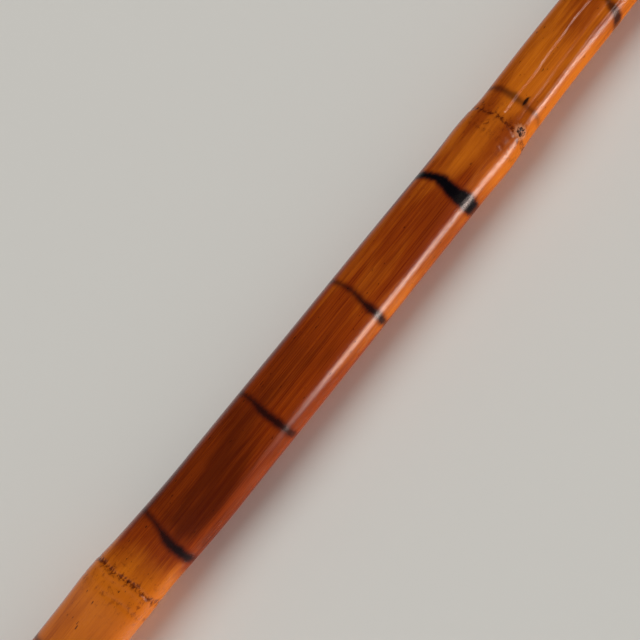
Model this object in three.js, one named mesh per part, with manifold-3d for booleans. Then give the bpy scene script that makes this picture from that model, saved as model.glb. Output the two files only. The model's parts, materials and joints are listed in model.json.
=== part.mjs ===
// A bamboo ski pole: a fire-tempered, lacquered cane with a steel ferrule and spike, a rattan
// snow basket on leather spokes, a stitched leather grip with a turned knob, and a wrist strap.
//
// Millimetres, +Z up the pole, origin at the point of the spike. The cane grew with its thick end
// where the grip is, so it gets thinner towards the spike.

import * as THREE from 'three';
import { mergeVertices } from 'three/addons/utils/BufferGeometryUtils.js';
import Module from 'manifold-3d';

const wasm = await Module();
wasm.setup();

// ---------------------------------------------------------------- driving dimensions

const GAP = 0.4; // air between neighbouring pieces that are cut or bored to fit
const ROUND = 20; // facets around the larger turned pieces
const SMALL_ROUND = 10; // facets around pins, rivets and wire
const THROUGH = 30; // reach from the axis of a cutter that goes right through the pole

// Cane. Node 0 is the reference joint of the cane; the others follow from its height.
const CANE_BOTTOM = 50;
const CANE_TOP = 1250;
const NODE_ZERO = 658.5;
const NODE_PITCH = 165.5;
const PITCH_GROWTH = 2; // each internode is longer than the one below it by twice this
const LOWEST_NODE = -3;
const HIGHEST_NODE = 3;
const MAIN_RADIUS = 10.1; // of the internode above node 0
const RADIUS_STEP_UP = 0.2; // per internode towards the grip
const RADIUS_BELOW_ZERO = 9.5; // of the internode below node 0
const RADIUS_STEP_DOWN = 0.53; // per internode towards the spike
const RADIUS_CHANGE = [-8, 6]; // where one radius becomes the next, from the node
const SWELLING = 0.3;
const SWELLING_ABOVE = 6; // the swelling's middle, from the node
const SWELLING_SPREAD = 7;
const BORE_RADIUS = 4.2;
const VENT_RADIUS = 1.6; // hole burnt through each inner wall when the cane was tempered
const INNER_WALL = [[BORE_RADIUS, 2], [VENT_RADIUS, 1], [VENT_RADIUS, -1], [BORE_RADIUS, -2]];
const GROOVE_DEPTH = 0.7;
const GROOVE_HALF = THREE.MathUtils.degToRad(26);
const GROOVE_ANGLE = THREE.MathUtils.degToRad(261); // of the groove below node 0, from +X
const GROOVE_START = [0.5, 5]; // where it deepens, below its node
const GROOVE_END = [0.3, 0.95]; // where it runs out, in parts of the internode
// Sideways step of the cane at each node, from the lowest to the highest.
const NODE_STEPS = [[0.5, -0.4], [-0.9, 0.5], [0.8, -0.6], [-0.5, 0], [1.3, 0.2], [-0.9, -0.5], [0, 0]];
const STEP_CHANGE = [-34, 10]; // where the cane bends into the step, from the node
const NODE_RINGS = [-34, -20, -8, -3, 0, 3, 7, 14]; // heights from a node at which its shape is set out

// Ferrule and spike
const SEAT_RADIUS = 6; // cane, at its lower end
const SEAT_TOP = 106; // where the tapered seat of the ferrule ends on the cane
const SEAT_TOP_RADIUS = 7.6;
const SEAT_SHOULDER = 112; // where the cane has its full radius again
const FERRULE_WALL = 0.9;
const FERRULE_TOP = 111;
const SPIKE_SHOULDER = 26;
const SPIKE_FLAT_RADIUS = 1.5;
const SPIKE_RADIUS = 5.9;
const SPIKE_SHANK_RADIUS = 4.4;
const SPIKE_SHANK_TOP = 47;
const TANG_RADIUS = 1.8;
const TANG_TOP = 84;
const PLUG_TOP = 104;
const FERRULE_PIN_HEIGHT = 96;
const FERRULE_PIN_RADIUS = 1.2;

// Basket
const HUB_BOTTOM = FERRULE_TOP + 0.5;
const HUB_THICKNESS = 2.5;
const HUB_MIDDLE = HUB_BOTTOM + HUB_THICKNESS / 2;
const HUB_RADIUS = 24.5;
const HUB_BORE = 8.7;
const SLOT_INNER = 15.9;
const SLOT_OUTER = 18.6;
const BASKET_WASHER_RADIUS = 12;
const WASHER_THICKNESS = 1.2;
const BASKET_PIN_RADIUS = 1.5;
const BASKET_PIN_LENGTH = 27;
const HOOP_RADIUS = 86;
const RATTAN_RADIUS = 4.2;
const SPOKES = 4;
const SPOKE_WIDTH = 14;
const SPOKE_LEATHER = 2;
const INNER_RIVET = 33;
const OUTER_RIVET = 73;
const RIVET_RADIUS = 1.5;
const RIVET_HEAD = 3.4;
const SPLICE_ANGLE = THREE.MathUtils.degToRad(45);
const SPLICE_HALF_LENGTH = THREE.MathUtils.degToRad(14);
const SPLICE_NAIL_ANGLE = THREE.MathUtils.degToRad(9);
const SPLICE_NAIL_RADIUS = 0.8;

// Grip
const GRIP_BOTTOM = 1128;
const GRIP_TOP = 1251;
const CORE_BORE = 11.1;
const CORE_RADIUS = 13.4;
const LEATHER_END_RADIUS = 14.6;
const LEATHER_RADIUS = 15.2;
const COLLAR_BOTTOM = 1118;
const COLLAR_RADIUS = 15.4;
const COLLAR_TACK_HEIGHT = 1124.8;
const COLLAR_TACK_RADIUS = 0.8;
const KNOB_BOTTOM = 1251.5;
const KNOB_TOP = 1282;
const KNOB_RADIUS = 17;
const SPIGOT_BOTTOM = 1229;
const SPIGOT_RADIUS = 3.8;
const KNOB_SCREW_RADIUS = 1.9;
const KNOB_SCREW_BOTTOM = 1236;

// Wrist strap: the whole loop lies in one plane that leans away from the cane.
const BOLT_HEIGHT = 1220;
const BOLT_RADIUS = 2.4;
const BOLT_BORE = 1.8;
const BOLT_HEAD_RADIUS = 6;
const STRAP_LEAN = THREE.MathUtils.degToRad(9);
const STRAP_SPREAD = THREE.MathUtils.degToRad(6.4); // each side from the other's plane
const STRAP_THICKNESS = 2.2;
const STRAP_WIDTH = 16;
const STRAP_OFFSET = 17; // bolt centre to the middle of the leather
const STRAP_BEND = 10; // below the bolt, where the sides start to spread
const LOOP_RADIUS = 33;
const STRAP_END = -9; // the rounded end above the bolt
const TAIL_END = 54; // distances along the strap side, from the bolt
const KEEPER_PLACE = 70;
const KEEPER_LENGTH = 9;
const FOLD_END = 84;
const HEEL_BAR = 106;
const FRONT_BAR = 122;
const BUCKLE_WIRE = 1.5;
const BUCKLE_HALF_WIDTH = 10.8;
const PRONG_RADIUS = 1;
const PUNCH_LENGTH = 8.6;
const PUNCH_WIDTH = 3.4;

// ---------------------------------------------------------------- solids

// Turns a geometry's faces outwards and leaves only its merged corners.
function closed(geometry) {
  geometry.deleteAttribute('normal');
  geometry.deleteAttribute('uv');
  const merged = mergeVertices(geometry, 1e-4);
  const corners = merged.attributes.position;
  const index = merged.index.array;
  const corner = [0, 1, 2].map(() => new THREE.Vector3());
  const kept = [];
  let volume = 0;
  for (let i = 0; i < index.length; i += 3) {
    const [a, b, c] = [index[i], index[i + 1], index[i + 2]];
    if (a === b || b === c || c === a) continue;
    corner[0].fromBufferAttribute(corners, a);
    corner[1].fromBufferAttribute(corners, b);
    corner[2].fromBufferAttribute(corners, c);
    volume += corner[0].dot(corner[1].cross(corner[2]));
    kept.push(a, b, c);
  }
  if (volume < 0) {
    for (let i = 0; i < kept.length; i += 3) [kept[i + 1], kept[i + 2]] = [kept[i + 2], kept[i + 1]];
  }
  merged.setIndex(kept);
  return merged;
}

function toSolid(geometry) {
  const merged = closed(geometry);
  return new wasm.Manifold(new wasm.Mesh({
    numProp: 3,
    vertProperties: new Float32Array(merged.attributes.position.array),
    triVerts: new Uint32Array(merged.index.array),
  }));
}

function fromSolid(solid) {
  const mesh = solid.getMesh();
  const geometry = new THREE.BufferGeometry();
  geometry.setAttribute('position', new THREE.BufferAttribute(mesh.vertProperties, 3));
  geometry.setIndex(new THREE.BufferAttribute(mesh.triVerts, 1));
  return geometry;
}

function cut(geometry, ...cutters) {
  return fromSolid(cutters.reduce((solid, cutter) => solid.subtract(toSolid(cutter)), toSolid(geometry)));
}

function join(...geometries) {
  return fromSolid(geometries.map(toSolid).reduce((whole, solid) => whole.add(solid)));
}

// A profile of [radius, height] pairs turned around Z.
function turned(profile, facets = ROUND) {
  const points = profile.map(([radius, height]) => new THREE.Vector2(radius, height));
  return closed(new THREE.LatheGeometry(points, facets).rotateX(Math.PI / 2));
}

// A ring with a rectangular section, turned around Z.
function ring(inner, outer, bottom, top, facets = ROUND) {
  return turned([[inner, bottom], [outer, bottom], [outer, top], [inner, top], [inner, bottom]], facets);
}

// A straight round bar from one point to another.
function bar(from, to, radius, facets = SMALL_ROUND) {
  const start = new THREE.Vector3(...from);
  const end = new THREE.Vector3(...to);
  const along = end.clone().sub(start);
  const geometry = new THREE.CylinderGeometry(radius, radius, along.length(), facets);
  const turn = new THREE.Quaternion().setFromUnitVectors(new THREE.Vector3(0, 1, 0), along.normalize());
  const middle = start.add(end).multiplyScalar(0.5);
  return geometry.applyQuaternion(turn).translate(middle.x, middle.y, middle.z);
}

function box(size, centre) {
  return new THREE.BoxGeometry(...size).translate(...centre);
}

// A flat outline made into a slab that is centred on its own plane.
function slab(shape, thickness, curveSegments = 6) {
  const geometry = new THREE.ExtrudeGeometry(shape, { depth: thickness, bevelEnabled: false, curveSegments });
  return geometry.translate(0, 0, -thickness / 2);
}

// The outline of a leather band of even thickness along a line of points.
function band(points, thickness) {
  const left = [];
  const right = [];
  points.forEach((point, i) => {
    const before = points[Math.max(i - 1, 0)];
    const after = points[Math.min(i + 1, points.length - 1)];
    const into = point.clone().sub(i ? before : point.clone().multiplyScalar(2).sub(after)).normalize();
    const out = (i < points.length - 1 ? after.clone().sub(point) : into.clone()).normalize();
    const along = into.add(out).normalize();
    const mitre = thickness / 2 / along.dot(out);
    const across = new THREE.Vector2(-along.y, along.x).multiplyScalar(mitre);
    left.push(point.clone().add(across));
    right.unshift(point.clone().sub(across));
  });
  return new THREE.Shape([...left, ...right]);
}

// ---------------------------------------------------------------- assembly and finishes

const FINISHES = {
  bamboo: { color: 0xa5581c, roughness: 0.28, metalness: 0 },
  steel: { color: 0x8f8f8c, roughness: 0.38, metalness: 1 },
  brass: { color: 0xb08a3e, roughness: 0.34, metalness: 1 },
  leather: { color: 0x5a3018, roughness: 0.6, metalness: 0 },
  spokeLeather: { color: 0x6e4122, roughness: 0.68, metalness: 0 },
  rattan: { color: 0xb98446, roughness: 0.5, metalness: 0 },
  cork: { color: 0xb5895a, roughness: 0.85, metalness: 0 },
  beech: { color: 0x9a6130, roughness: 0.4, metalness: 0 },
};

const pole = new THREE.Group();

function place(name, geometry, finish, parent = pole) {
  const mesh = new THREE.Mesh(geometry, new THREE.MeshStandardMaterial(FINISHES[finish]));
  mesh.name = name;
  parent.add(mesh);
  return mesh;
}

// ---------------------------------------------------------------- cane

const nodeHeight = (k) => NODE_ZERO + NODE_PITCH * k + PITCH_GROWTH * k * (k - 1);
const nodeNumbers = Array.from({ length: HIGHEST_NODE - LOWEST_NODE + 1 }, (_, i) => LOWEST_NODE + i);

// The plain radius of the internode that starts at node k.
function internodeRadius(k) {
  return k >= 0 ? MAIN_RADIUS + RADIUS_STEP_UP * k : RADIUS_BELOW_ZERO + RADIUS_STEP_DOWN * (k + 1);
}

// The internode that a height lies in, named by the node at its lower end.
function internodeAt(height) {
  return nodeNumbers.reduce((found, k) => (height >= nodeHeight(k) ? k : found), LOWEST_NODE - 1);
}

function caneRadius(height) {
  let radius = internodeRadius(LOWEST_NODE - 1);
  for (const k of nodeNumbers) {
    const above = height - nodeHeight(k);
    const change = THREE.MathUtils.smoothstep(above, ...RADIUS_CHANGE);
    const swelling = k === HIGHEST_NODE ? 0 : SWELLING; // the top one is filed off under the grip
    radius += change * (internodeRadius(k) - internodeRadius(k - 1));
    radius += swelling * Math.exp(-(((above - SWELLING_ABOVE) / SWELLING_SPREAD) ** 2));
  }
  return radius;
}

// How far the cane's middle lies off the Z axis: it bends into the step of each node, and from
// there leads straight back to the axis.
function caneOffset(height) {
  const offset = new THREE.Vector2();
  NODE_STEPS.forEach((step, i) => {
    const k = LOWEST_NODE + i;
    const above = height - nodeHeight(k);
    const left = THREE.MathUtils.clamp(1 - above / (nodeHeight(k + 1) - nodeHeight(k)), 0, 1);
    const part = left * THREE.MathUtils.smoothstep(above, ...STEP_CHANGE);
    offset.addScaledVector(new THREE.Vector2(...step), part);
  });
  return offset;
}

// The branch groove of an internode runs down from the bud of the node above it. Buds look to
// opposite sides on following nodes.
function grooveDepth(angle, height) {
  const k = internodeAt(height) + 1;
  if (k >= HIGHEST_NODE) return 0;
  const middle = GROOVE_ANGLE + Math.PI * k;
  const away = Math.abs(Math.atan2(Math.sin(angle - middle), Math.cos(angle - middle)));
  const below = nodeHeight(k) - height;
  const length = nodeHeight(k) - Math.max(nodeHeight(k - 1), FERRULE_TOP);
  const runOut = GROOVE_END.map((part) => part * length);
  const deepened = THREE.MathUtils.smoothstep(below, ...GROOVE_START);
  const run = deepened - THREE.MathUtils.smoothstep(below, ...runOut);
  return GROOVE_DEPTH * run * Math.cos(Math.min(away / GROOVE_HALF, 1) * Math.PI / 2) ** 2;
}

function caneProfile() {
  const seat = [[SEAT_RADIUS, CANE_BOTTOM], [SEAT_TOP_RADIUS, SEAT_TOP]];
  const outside = [...seat, [internodeRadius(LOWEST_NODE - 1), SEAT_SHOULDER]];
  const inside = [];
  for (const k of nodeNumbers) {
    const node = nodeHeight(k);
    for (const step of NODE_RINGS) outside.push([caneRadius(node + step), node + step]);
    if (k < HIGHEST_NODE) {
      const middle = (node + nodeHeight(k + 1)) / 2;
      outside.push([caneRadius(middle), middle]);
    }
    inside.unshift(...INNER_WALL.map(([radius, above]) => [radius, node + above]));
  }
  outside.push([internodeRadius(HIGHEST_NODE), CANE_TOP]);
  return [...outside, [BORE_RADIUS, CANE_TOP], ...inside, [BORE_RADIUS, CANE_BOTTOM], outside[0]];
}

function cane() {
  const geometry = turned(caneProfile());
  const corners = geometry.attributes.position;
  const corner = new THREE.Vector3();
  for (let i = 0; i < corners.count; i += 1) {
    corner.fromBufferAttribute(corners, i);
    const radius = Math.hypot(corner.x, corner.y);
    const angle = Math.atan2(corner.y, corner.x);
    const outer = radius > BORE_RADIUS + 1;
    const scale = outer ? 1 - grooveDepth(angle, corner.z) / radius : 1;
    const { x, y } = caneOffset(corner.z);
    corners.setXYZ(i, corner.x * scale + x, corner.y * scale + y, corner.z);
  }
  return cut(geometry, ferrulePinHole(), basketPinHole(), tackHole(), strapBoltHole());
}

// ---------------------------------------------------------------- ferrule and spike

function spike() {
  return turned([
    [0, 0], [SPIKE_FLAT_RADIUS, 0], [SPIKE_RADIUS, SPIKE_SHOULDER - 3], [SPIKE_RADIUS, SPIKE_SHOULDER],
    [SPIKE_SHANK_RADIUS, SPIKE_SHOULDER], [SPIKE_SHANK_RADIUS, SPIKE_SHANK_TOP],
    [TANG_RADIUS, SPIKE_SHANK_TOP + 1], [TANG_RADIUS, TANG_TOP - 3], [0, TANG_TOP],
  ]);
}

function ferrule() {
  const seat = SEAT_RADIUS + GAP;
  const mouth = internodeRadius(LOWEST_NODE - 1) + GAP;
  const shank = SPIKE_SHANK_RADIUS + GAP;
  const sleeve = turned([
    [shank, SPIKE_SHOULDER + 0.3], [SPIKE_RADIUS, SPIKE_SHOULDER + 0.3],
    [seat + FERRULE_WALL, CANE_BOTTOM - 2], [SEAT_TOP_RADIUS + GAP + FERRULE_WALL, SEAT_TOP - 1],
    [mouth + 1.5, SEAT_TOP + 1.5], [mouth + 1.5, FERRULE_TOP - 1], [mouth + 0.9, FERRULE_TOP],
    [mouth, FERRULE_TOP], [mouth, SEAT_TOP + 1], [seat, CANE_BOTTOM - 0.5], [shank, CANE_BOTTOM - 2],
    [shank, SPIKE_SHOULDER + 0.3],
  ]);
  return cut(sleeve, ferrulePinHole());
}

// The dowel that keeps the thin end of the cane from crushing; the tang is driven into it.
function lowerPlug() {
  const outer = BORE_RADIUS - GAP;
  const hole = TANG_RADIUS + GAP;
  const dowel = turned([
    [hole, CANE_BOTTOM], [outer, CANE_BOTTOM], [outer, PLUG_TOP], [0, PLUG_TOP],
    [0, TANG_TOP + 1], [hole, TANG_TOP], [hole, CANE_BOTTOM],
  ]);
  return cut(dowel, ferrulePinHole());
}

function ferrulePinHole() {
  const radius = FERRULE_PIN_RADIUS + GAP;
  return bar([0, -THROUGH, FERRULE_PIN_HEIGHT], [0, THROUGH, FERRULE_PIN_HEIGHT], radius);
}

function ferrulePin() {
  const reach = SEAT_TOP_RADIUS + FERRULE_WALL + GAP + 0.3;
  return bar([0, -reach, FERRULE_PIN_HEIGHT], [0, reach, FERRULE_PIN_HEIGHT], FERRULE_PIN_RADIUS);
}

// ---------------------------------------------------------------- basket

const BASKET_WASHER_BOTTOM = HUB_BOTTOM + HUB_THICKNESS + 0.5;
const BASKET_PIN_HEIGHT = BASKET_WASHER_BOTTOM + WASHER_THICKNESS + BASKET_PIN_RADIUS + 0.2;

function basketWasher() {
  return ring(HUB_BORE, BASKET_WASHER_RADIUS, BASKET_WASHER_BOTTOM, BASKET_WASHER_BOTTOM + WASHER_THICKNESS);
}

function basketPin() {
  const reach = BASKET_PIN_LENGTH / 2;
  return bar([-reach, 0, BASKET_PIN_HEIGHT], [reach, 0, BASKET_PIN_HEIGHT], BASKET_PIN_RADIUS);
}

function basketPinHole() {
  return bar([-THROUGH, 0, BASKET_PIN_HEIGHT], [THROUGH, 0, BASKET_PIN_HEIGHT], BASKET_PIN_RADIUS + GAP);
}

function hubPlate() {
  const plate = new THREE.Shape().absarc(0, 0, HUB_RADIUS, 0, 2 * Math.PI);
  plate.holes.push(new THREE.Path().absarc(0, 0, HUB_BORE, 0, 2 * Math.PI));
  const half = SPOKE_WIDTH / 2 + GAP;
  for (let i = 0; i < SPOKES; i += 1) {
    const turn = (i * 2 * Math.PI) / SPOKES;
    const corners = [[SLOT_INNER, -half], [SLOT_OUTER, -half], [SLOT_OUTER, half], [SLOT_INNER, half]];
    const points = corners.map(([x, y]) => new THREE.Vector2(x, y).rotateAround(new THREE.Vector2(), turn));
    plate.holes.push(new THREE.Path(points));
  }
  return slab(plate, HUB_THICKNESS, ROUND);
}

// A strap doubled around the rim of the plate and around the hoop, seen from its edge.
function spokeStrap() {
  const hub = HUB_THICKNESS / 2 + 0.3;
  const hubOuter = hub + SPOKE_LEATHER;
  const inner = SLOT_OUTER - 0.3;
  const hoop = RATTAN_RADIUS + 0.8;
  const neck = Math.PI - Math.asin(SPOKE_LEATHER / (hoop + SPOKE_LEATHER)) * 1.7;
  const outline = new THREE.Shape();
  outline.moveTo(inner - SPOKE_LEATHER, -hubOuter + 1);
  outline.lineTo(inner - SPOKE_LEATHER + 1, -hubOuter);
  outline.lineTo(HUB_RADIUS, -hubOuter);
  outline.lineTo(HUB_RADIUS + 5, -SPOKE_LEATHER);
  outline.lineTo(OUTER_RIVET + 3, -SPOKE_LEATHER);
  outline.absarc(HOOP_RADIUS, 0, hoop + SPOKE_LEATHER, -neck, neck, false);
  outline.lineTo(OUTER_RIVET + 3, SPOKE_LEATHER);
  outline.lineTo(HUB_RADIUS + 5, SPOKE_LEATHER);
  outline.lineTo(HUB_RADIUS, hubOuter);
  outline.lineTo(inner - SPOKE_LEATHER + 1, hubOuter);
  outline.lineTo(inner - SPOKE_LEATHER, hubOuter - 1);
  const rim = [[inner, -hub], [HUB_RADIUS + 0.5, -hub], [HUB_RADIUS + 0.5, hub], [inner, hub]];
  outline.holes.push(new THREE.Path(rim.map(([x, y]) => new THREE.Vector2(x, y))));
  outline.holes.push(new THREE.Path().absarc(HOOP_RADIUS, 0, hoop, 0, 2 * Math.PI));
  const strap = slab(outline, SPOKE_WIDTH).rotateX(Math.PI / 2);
  const holes = [INNER_RIVET, OUTER_RIVET].map((x) => bar([x, 0, -9], [x, 0, 9], RIVET_RADIUS + GAP));
  return cut(strap, ...holes);
}

function rivet() {
  const face = SPOKE_LEATHER + 0.15;
  const head = [[RIVET_RADIUS, face], [RIVET_HEAD, face], [RIVET_HEAD * 0.6, face + 1], [0, face + 1.2]];
  const other = head.map(([radius, height]) => [radius, -height]).reverse();
  return turned([...other, ...head], SMALL_ROUND);
}

// Places on the hoop's middle line, for the nails of its splice.
function hoopPoint(angle, height) {
  return [HOOP_RADIUS * Math.cos(angle), HOOP_RADIUS * Math.sin(angle), height];
}

const spliceNailAngles = [SPLICE_ANGLE - SPLICE_NAIL_ANGLE, SPLICE_ANGLE + SPLICE_NAIL_ANGLE];

function nailHoles() {
  const reach = RATTAN_RADIUS + 4;
  const radius = SPLICE_NAIL_RADIUS + GAP;
  return spliceNailAngles.map((angle) => bar(hoopPoint(angle, -reach), hoopPoint(angle, reach), radius));
}

function basketHoop() {
  return cut(new THREE.TorusGeometry(HOOP_RADIUS, RATTAN_RADIUS, 8, 48), ...nailHoles());
}

function spliceBand() {
  const section = new THREE.Shape().absarc(0, 0, RATTAN_RADIUS + GAP + 0.8, 0, 2 * Math.PI);
  section.holes.push(new THREE.Path().absarc(0, 0, RATTAN_RADIUS + GAP, 0, 2 * Math.PI));
  const angles = [-1, -0.5, 0, 0.5, 1].map((part) => SPLICE_ANGLE + part * SPLICE_HALF_LENGTH);
  const points = angles.map((angle) => new THREE.Vector3(...hoopPoint(angle, 0)));
  const extrudePath = new THREE.CatmullRomCurve3(points);
  const sleeve = new THREE.ExtrudeGeometry(section, { extrudePath, steps: 4, curveSegments: 5 });
  return cut(sleeve, ...nailHoles());
}

function spliceNail(angle) {
  const reach = RATTAN_RADIUS + GAP + 0.8;
  const [x, y] = hoopPoint(angle, 0);
  const nail = turned([
    [0, -reach - 0.4], [SPLICE_NAIL_RADIUS, -reach - 0.2], [SPLICE_NAIL_RADIUS, reach + 0.2],
    [2, reach + 0.2], [1.4, reach + 0.9], [0, reach + 1],
  ], SMALL_ROUND);
  return nail.translate(x, y, 0);
}

// ---------------------------------------------------------------- grip

function strapBoltHole() {
  return bar([0, -THROUGH, BOLT_HEIGHT], [0, THROUGH, BOLT_HEIGHT], BOLT_RADIUS + GAP);
}

function gripCore() {
  return cut(ring(CORE_BORE, CORE_RADIUS, GRIP_BOTTOM, GRIP_TOP), strapBoltHole());
}

function gripLeather() {
  const inner = CORE_RADIUS + GAP;
  const steps = [0.04, 0.25, 0.5, 0.75, 0.96];
  const outside = steps.map((part) => [
    LEATHER_END_RADIUS + (LEATHER_RADIUS - LEATHER_END_RADIUS) * Math.sin(Math.PI * part) ** 0.5,
    GRIP_BOTTOM + part * (GRIP_TOP - GRIP_BOTTOM),
  ]);
  return cut(turned([
    [inner, GRIP_BOTTOM], [LEATHER_END_RADIUS - 0.4, GRIP_BOTTOM], ...outside,
    [LEATHER_END_RADIUS - 0.4, GRIP_TOP], [inner, GRIP_TOP], [inner, GRIP_BOTTOM],
  ]), strapBoltHole());
}

function gripCollar() {
  const top = GRIP_BOTTOM - GAP;
  const body = turned([
    [CORE_BORE, COLLAR_BOTTOM], [CORE_BORE + 1.4, COLLAR_BOTTOM], [COLLAR_RADIUS, COLLAR_BOTTOM + 4.5],
    [COLLAR_RADIUS, top - 1], [COLLAR_RADIUS - 0.6, top], [CORE_BORE, top], [CORE_BORE, COLLAR_BOTTOM],
  ]);
  return cut(body, tackHole());
}

function tackHole() {
  return bar([-THROUGH, 0, COLLAR_TACK_HEIGHT], [THROUGH, 0, COLLAR_TACK_HEIGHT], COLLAR_TACK_RADIUS + GAP);
}

// A tack through the collar into the wall of the cane; its sign is its side along X.
function collarTack(sign) {
  const seat = COLLAR_RADIUS + 0.15;
  const tack = turned([
    [0, 6.4], [COLLAR_TACK_RADIUS, 8], [COLLAR_TACK_RADIUS, seat],
    [1.7, seat], [1.1, seat + 0.6], [0, seat + 0.8],
  ], SMALL_ROUND);
  return tack.rotateY((sign * Math.PI) / 2).translate(0, 0, COLLAR_TACK_HEIGHT);
}

function knob() {
  const profile = [[0, SPIGOT_BOTTOM], [SPIGOT_RADIUS, SPIGOT_BOTTOM], [SPIGOT_RADIUS, KNOB_BOTTOM]];
  profile.push([LEATHER_RADIUS, KNOB_BOTTOM]);
  profile.push([KNOB_RADIUS - 0.8, KNOB_BOTTOM + 3], [KNOB_RADIUS, KNOB_BOTTOM + 8]);
  const shoulder = KNOB_BOTTOM + 16;
  for (const turn of [0, 0.25, 0.5, 0.72, 0.9]) {
    const angle = (turn * Math.PI) / 2;
    profile.push([KNOB_RADIUS * Math.cos(angle) + 0.1, shoulder + (KNOB_TOP - shoulder) * Math.sin(angle)]);
  }
  profile.push([5.8, KNOB_TOP - 0.15], [5.6, KNOB_TOP], [KNOB_SCREW_RADIUS + GAP, KNOB_TOP]);
  profile.push([KNOB_SCREW_RADIUS + GAP, KNOB_SCREW_BOTTOM - 1], [0, KNOB_SCREW_BOTTOM - 2]);
  return turned(profile);
}

const KNOB_WASHER_TOP = KNOB_TOP + 1.4;
const KNOB_SCREW_TOP = KNOB_WASHER_TOP + 2.8;

function knobWasher() {
  const bore = KNOB_SCREW_RADIUS + GAP;
  return turned([
    [bore, KNOB_TOP + 0.2], [5.6, KNOB_TOP + 0.2], [5.2, KNOB_WASHER_TOP - 0.2], [4.8, KNOB_WASHER_TOP],
    [bore, KNOB_WASHER_TOP], [bore, KNOB_TOP + 0.2],
  ]);
}

function knobScrew() {
  const seat = KNOB_WASHER_TOP + 0.2;
  const body = turned([
    [0, KNOB_SCREW_BOTTOM], [KNOB_SCREW_RADIUS, KNOB_SCREW_BOTTOM + 3], [KNOB_SCREW_RADIUS, seat],
    [4.4, seat], [4.4, KNOB_SCREW_TOP - 0.7], [3.8, KNOB_SCREW_TOP], [0, KNOB_SCREW_TOP],
  ]);
  return cut(body, box([10, 1.1, 2.4], [0, 0, KNOB_SCREW_TOP]));
}

// ---------------------------------------------------------------- wrist strap

// The loop's own frame: X across the bolt, Y down the loop, Z across the leather.
const loop = new THREE.Group();
loop.position.set(0, 0, BOLT_HEIGHT);
loop.quaternion.setFromRotationMatrix(new THREE.Matrix4().makeBasis(
  new THREE.Vector3(0, 1, 0),
  new THREE.Vector3(Math.sin(STRAP_LEAN), 0, -Math.cos(STRAP_LEAN)),
  new THREE.Vector3(-Math.cos(STRAP_LEAN), 0, -Math.sin(STRAP_LEAN)),
));
pole.add(loop);

// The buckled side's frame: X outwards from the leather, Y along it from the bolt's level.
const side = new THREE.Group();
side.position.set(STRAP_OFFSET, STRAP_BEND, 0);
side.rotation.z = -STRAP_SPREAD;
loop.add(side);

// A point of the strap's plane, given out from and along the buckled side.
function sidePoint(out, along) {
  const bend = new THREE.Vector2(STRAP_OFFSET, STRAP_BEND);
  return new THREE.Vector2(STRAP_OFFSET + out, along).rotateAround(bend, -STRAP_SPREAD);
}

const HEEL_OUT = -1.2; // the heel bar sits between the two layers of the folded strap
const FOLD_RADIUS = BUCKLE_WIRE + GAP + STRAP_THICKNESS;
const TAIL_OUT = STRAP_THICKNESS + GAP;
const HUMP_OUT = HEEL_OUT + FOLD_RADIUS + GAP + STRAP_THICKNESS / 2;
const FRONT_OUT = 0.2 + STRAP_THICKNESS / 2 + GAP + BUCKLE_WIRE;
const LOOP_CENTRE = STRAP_BEND
  + (LOOP_RADIUS - STRAP_OFFSET * Math.cos(STRAP_SPREAD)) / Math.sin(STRAP_SPREAD);

function strapHole(x) {
  return bar([x - 5, 0, 0], [x + 5, 0, 0], BOLT_RADIUS + GAP);
}

// Rounds the free end of a strap by cutting its two corners away.
function endCorners(x) {
  const corner = new THREE.Shape();
  const half = STRAP_WIDTH / 2;
  const radius = half - 0.5;
  corner.moveTo(-half - 1, -radius);
  corner.lineTo(-half - 1, 1);
  corner.lineTo(half + 1, 1);
  corner.lineTo(half + 1, -radius);
  corner.lineTo(radius, -radius);
  corner.absarc(0, -radius, radius, 0, Math.PI, false);
  return slab(corner, 12).rotateY(Math.PI / 2).rotateX(Math.PI).translate(x, STRAP_END + 0.5, 0);
}

// An oblong punch across the leather at a point along the buckled side.
function punch(out, along) {
  const middle = sidePoint(out, along);
  const round = PUNCH_LENGTH / 2 - PUNCH_WIDTH / 2;
  const outline = new THREE.Shape();
  outline.absarc(0, round, PUNCH_WIDTH / 2, 0, Math.PI, false);
  outline.absarc(0, -round, PUNCH_WIDTH / 2, Math.PI, 2 * Math.PI, false);
  return slab(outline, 8, 3).rotateY(Math.PI / 2).rotateZ(-STRAP_SPREAD).translate(middle.x, middle.y, 0);
}

function billetLine() {
  const hump = new THREE.SplineCurve([
    sidePoint(TAIL_OUT, HEEL_BAR - 10), sidePoint(TAIL_OUT + 0.4, HEEL_BAR - 6.5),
    sidePoint(HUMP_OUT, HEEL_BAR), sidePoint(2.4, (HEEL_BAR + FRONT_BAR) / 2),
    sidePoint(0.2, FRONT_BAR), sidePoint(0, FRONT_BAR + 8),
  ]);
  const bottom = new THREE.Path();
  bottom.absarc(0, LOOP_CENTRE, LOOP_RADIUS, -STRAP_SPREAD, Math.PI + STRAP_SPREAD, false);
  return [
    sidePoint(TAIL_OUT, TAIL_END), ...hump.getPoints(12), ...bottom.getPoints(8),
    new THREE.Vector2(-STRAP_OFFSET, STRAP_BEND), new THREE.Vector2(-STRAP_OFFSET, STRAP_END),
  ];
}

function strapBillet() {
  const leather = slab(band(billetLine(), STRAP_THICKNESS), STRAP_WIDTH);
  const heel = HEEL_BAR + 7.2;
  const punches = [-36, -18, 0, 18, 36].map((step) => punch(step < -9 ? TAIL_OUT : 0, heel + step));
  return cut(leather, strapHole(-STRAP_OFFSET), endCorners(-STRAP_OFFSET), ...punches);
}

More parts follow.
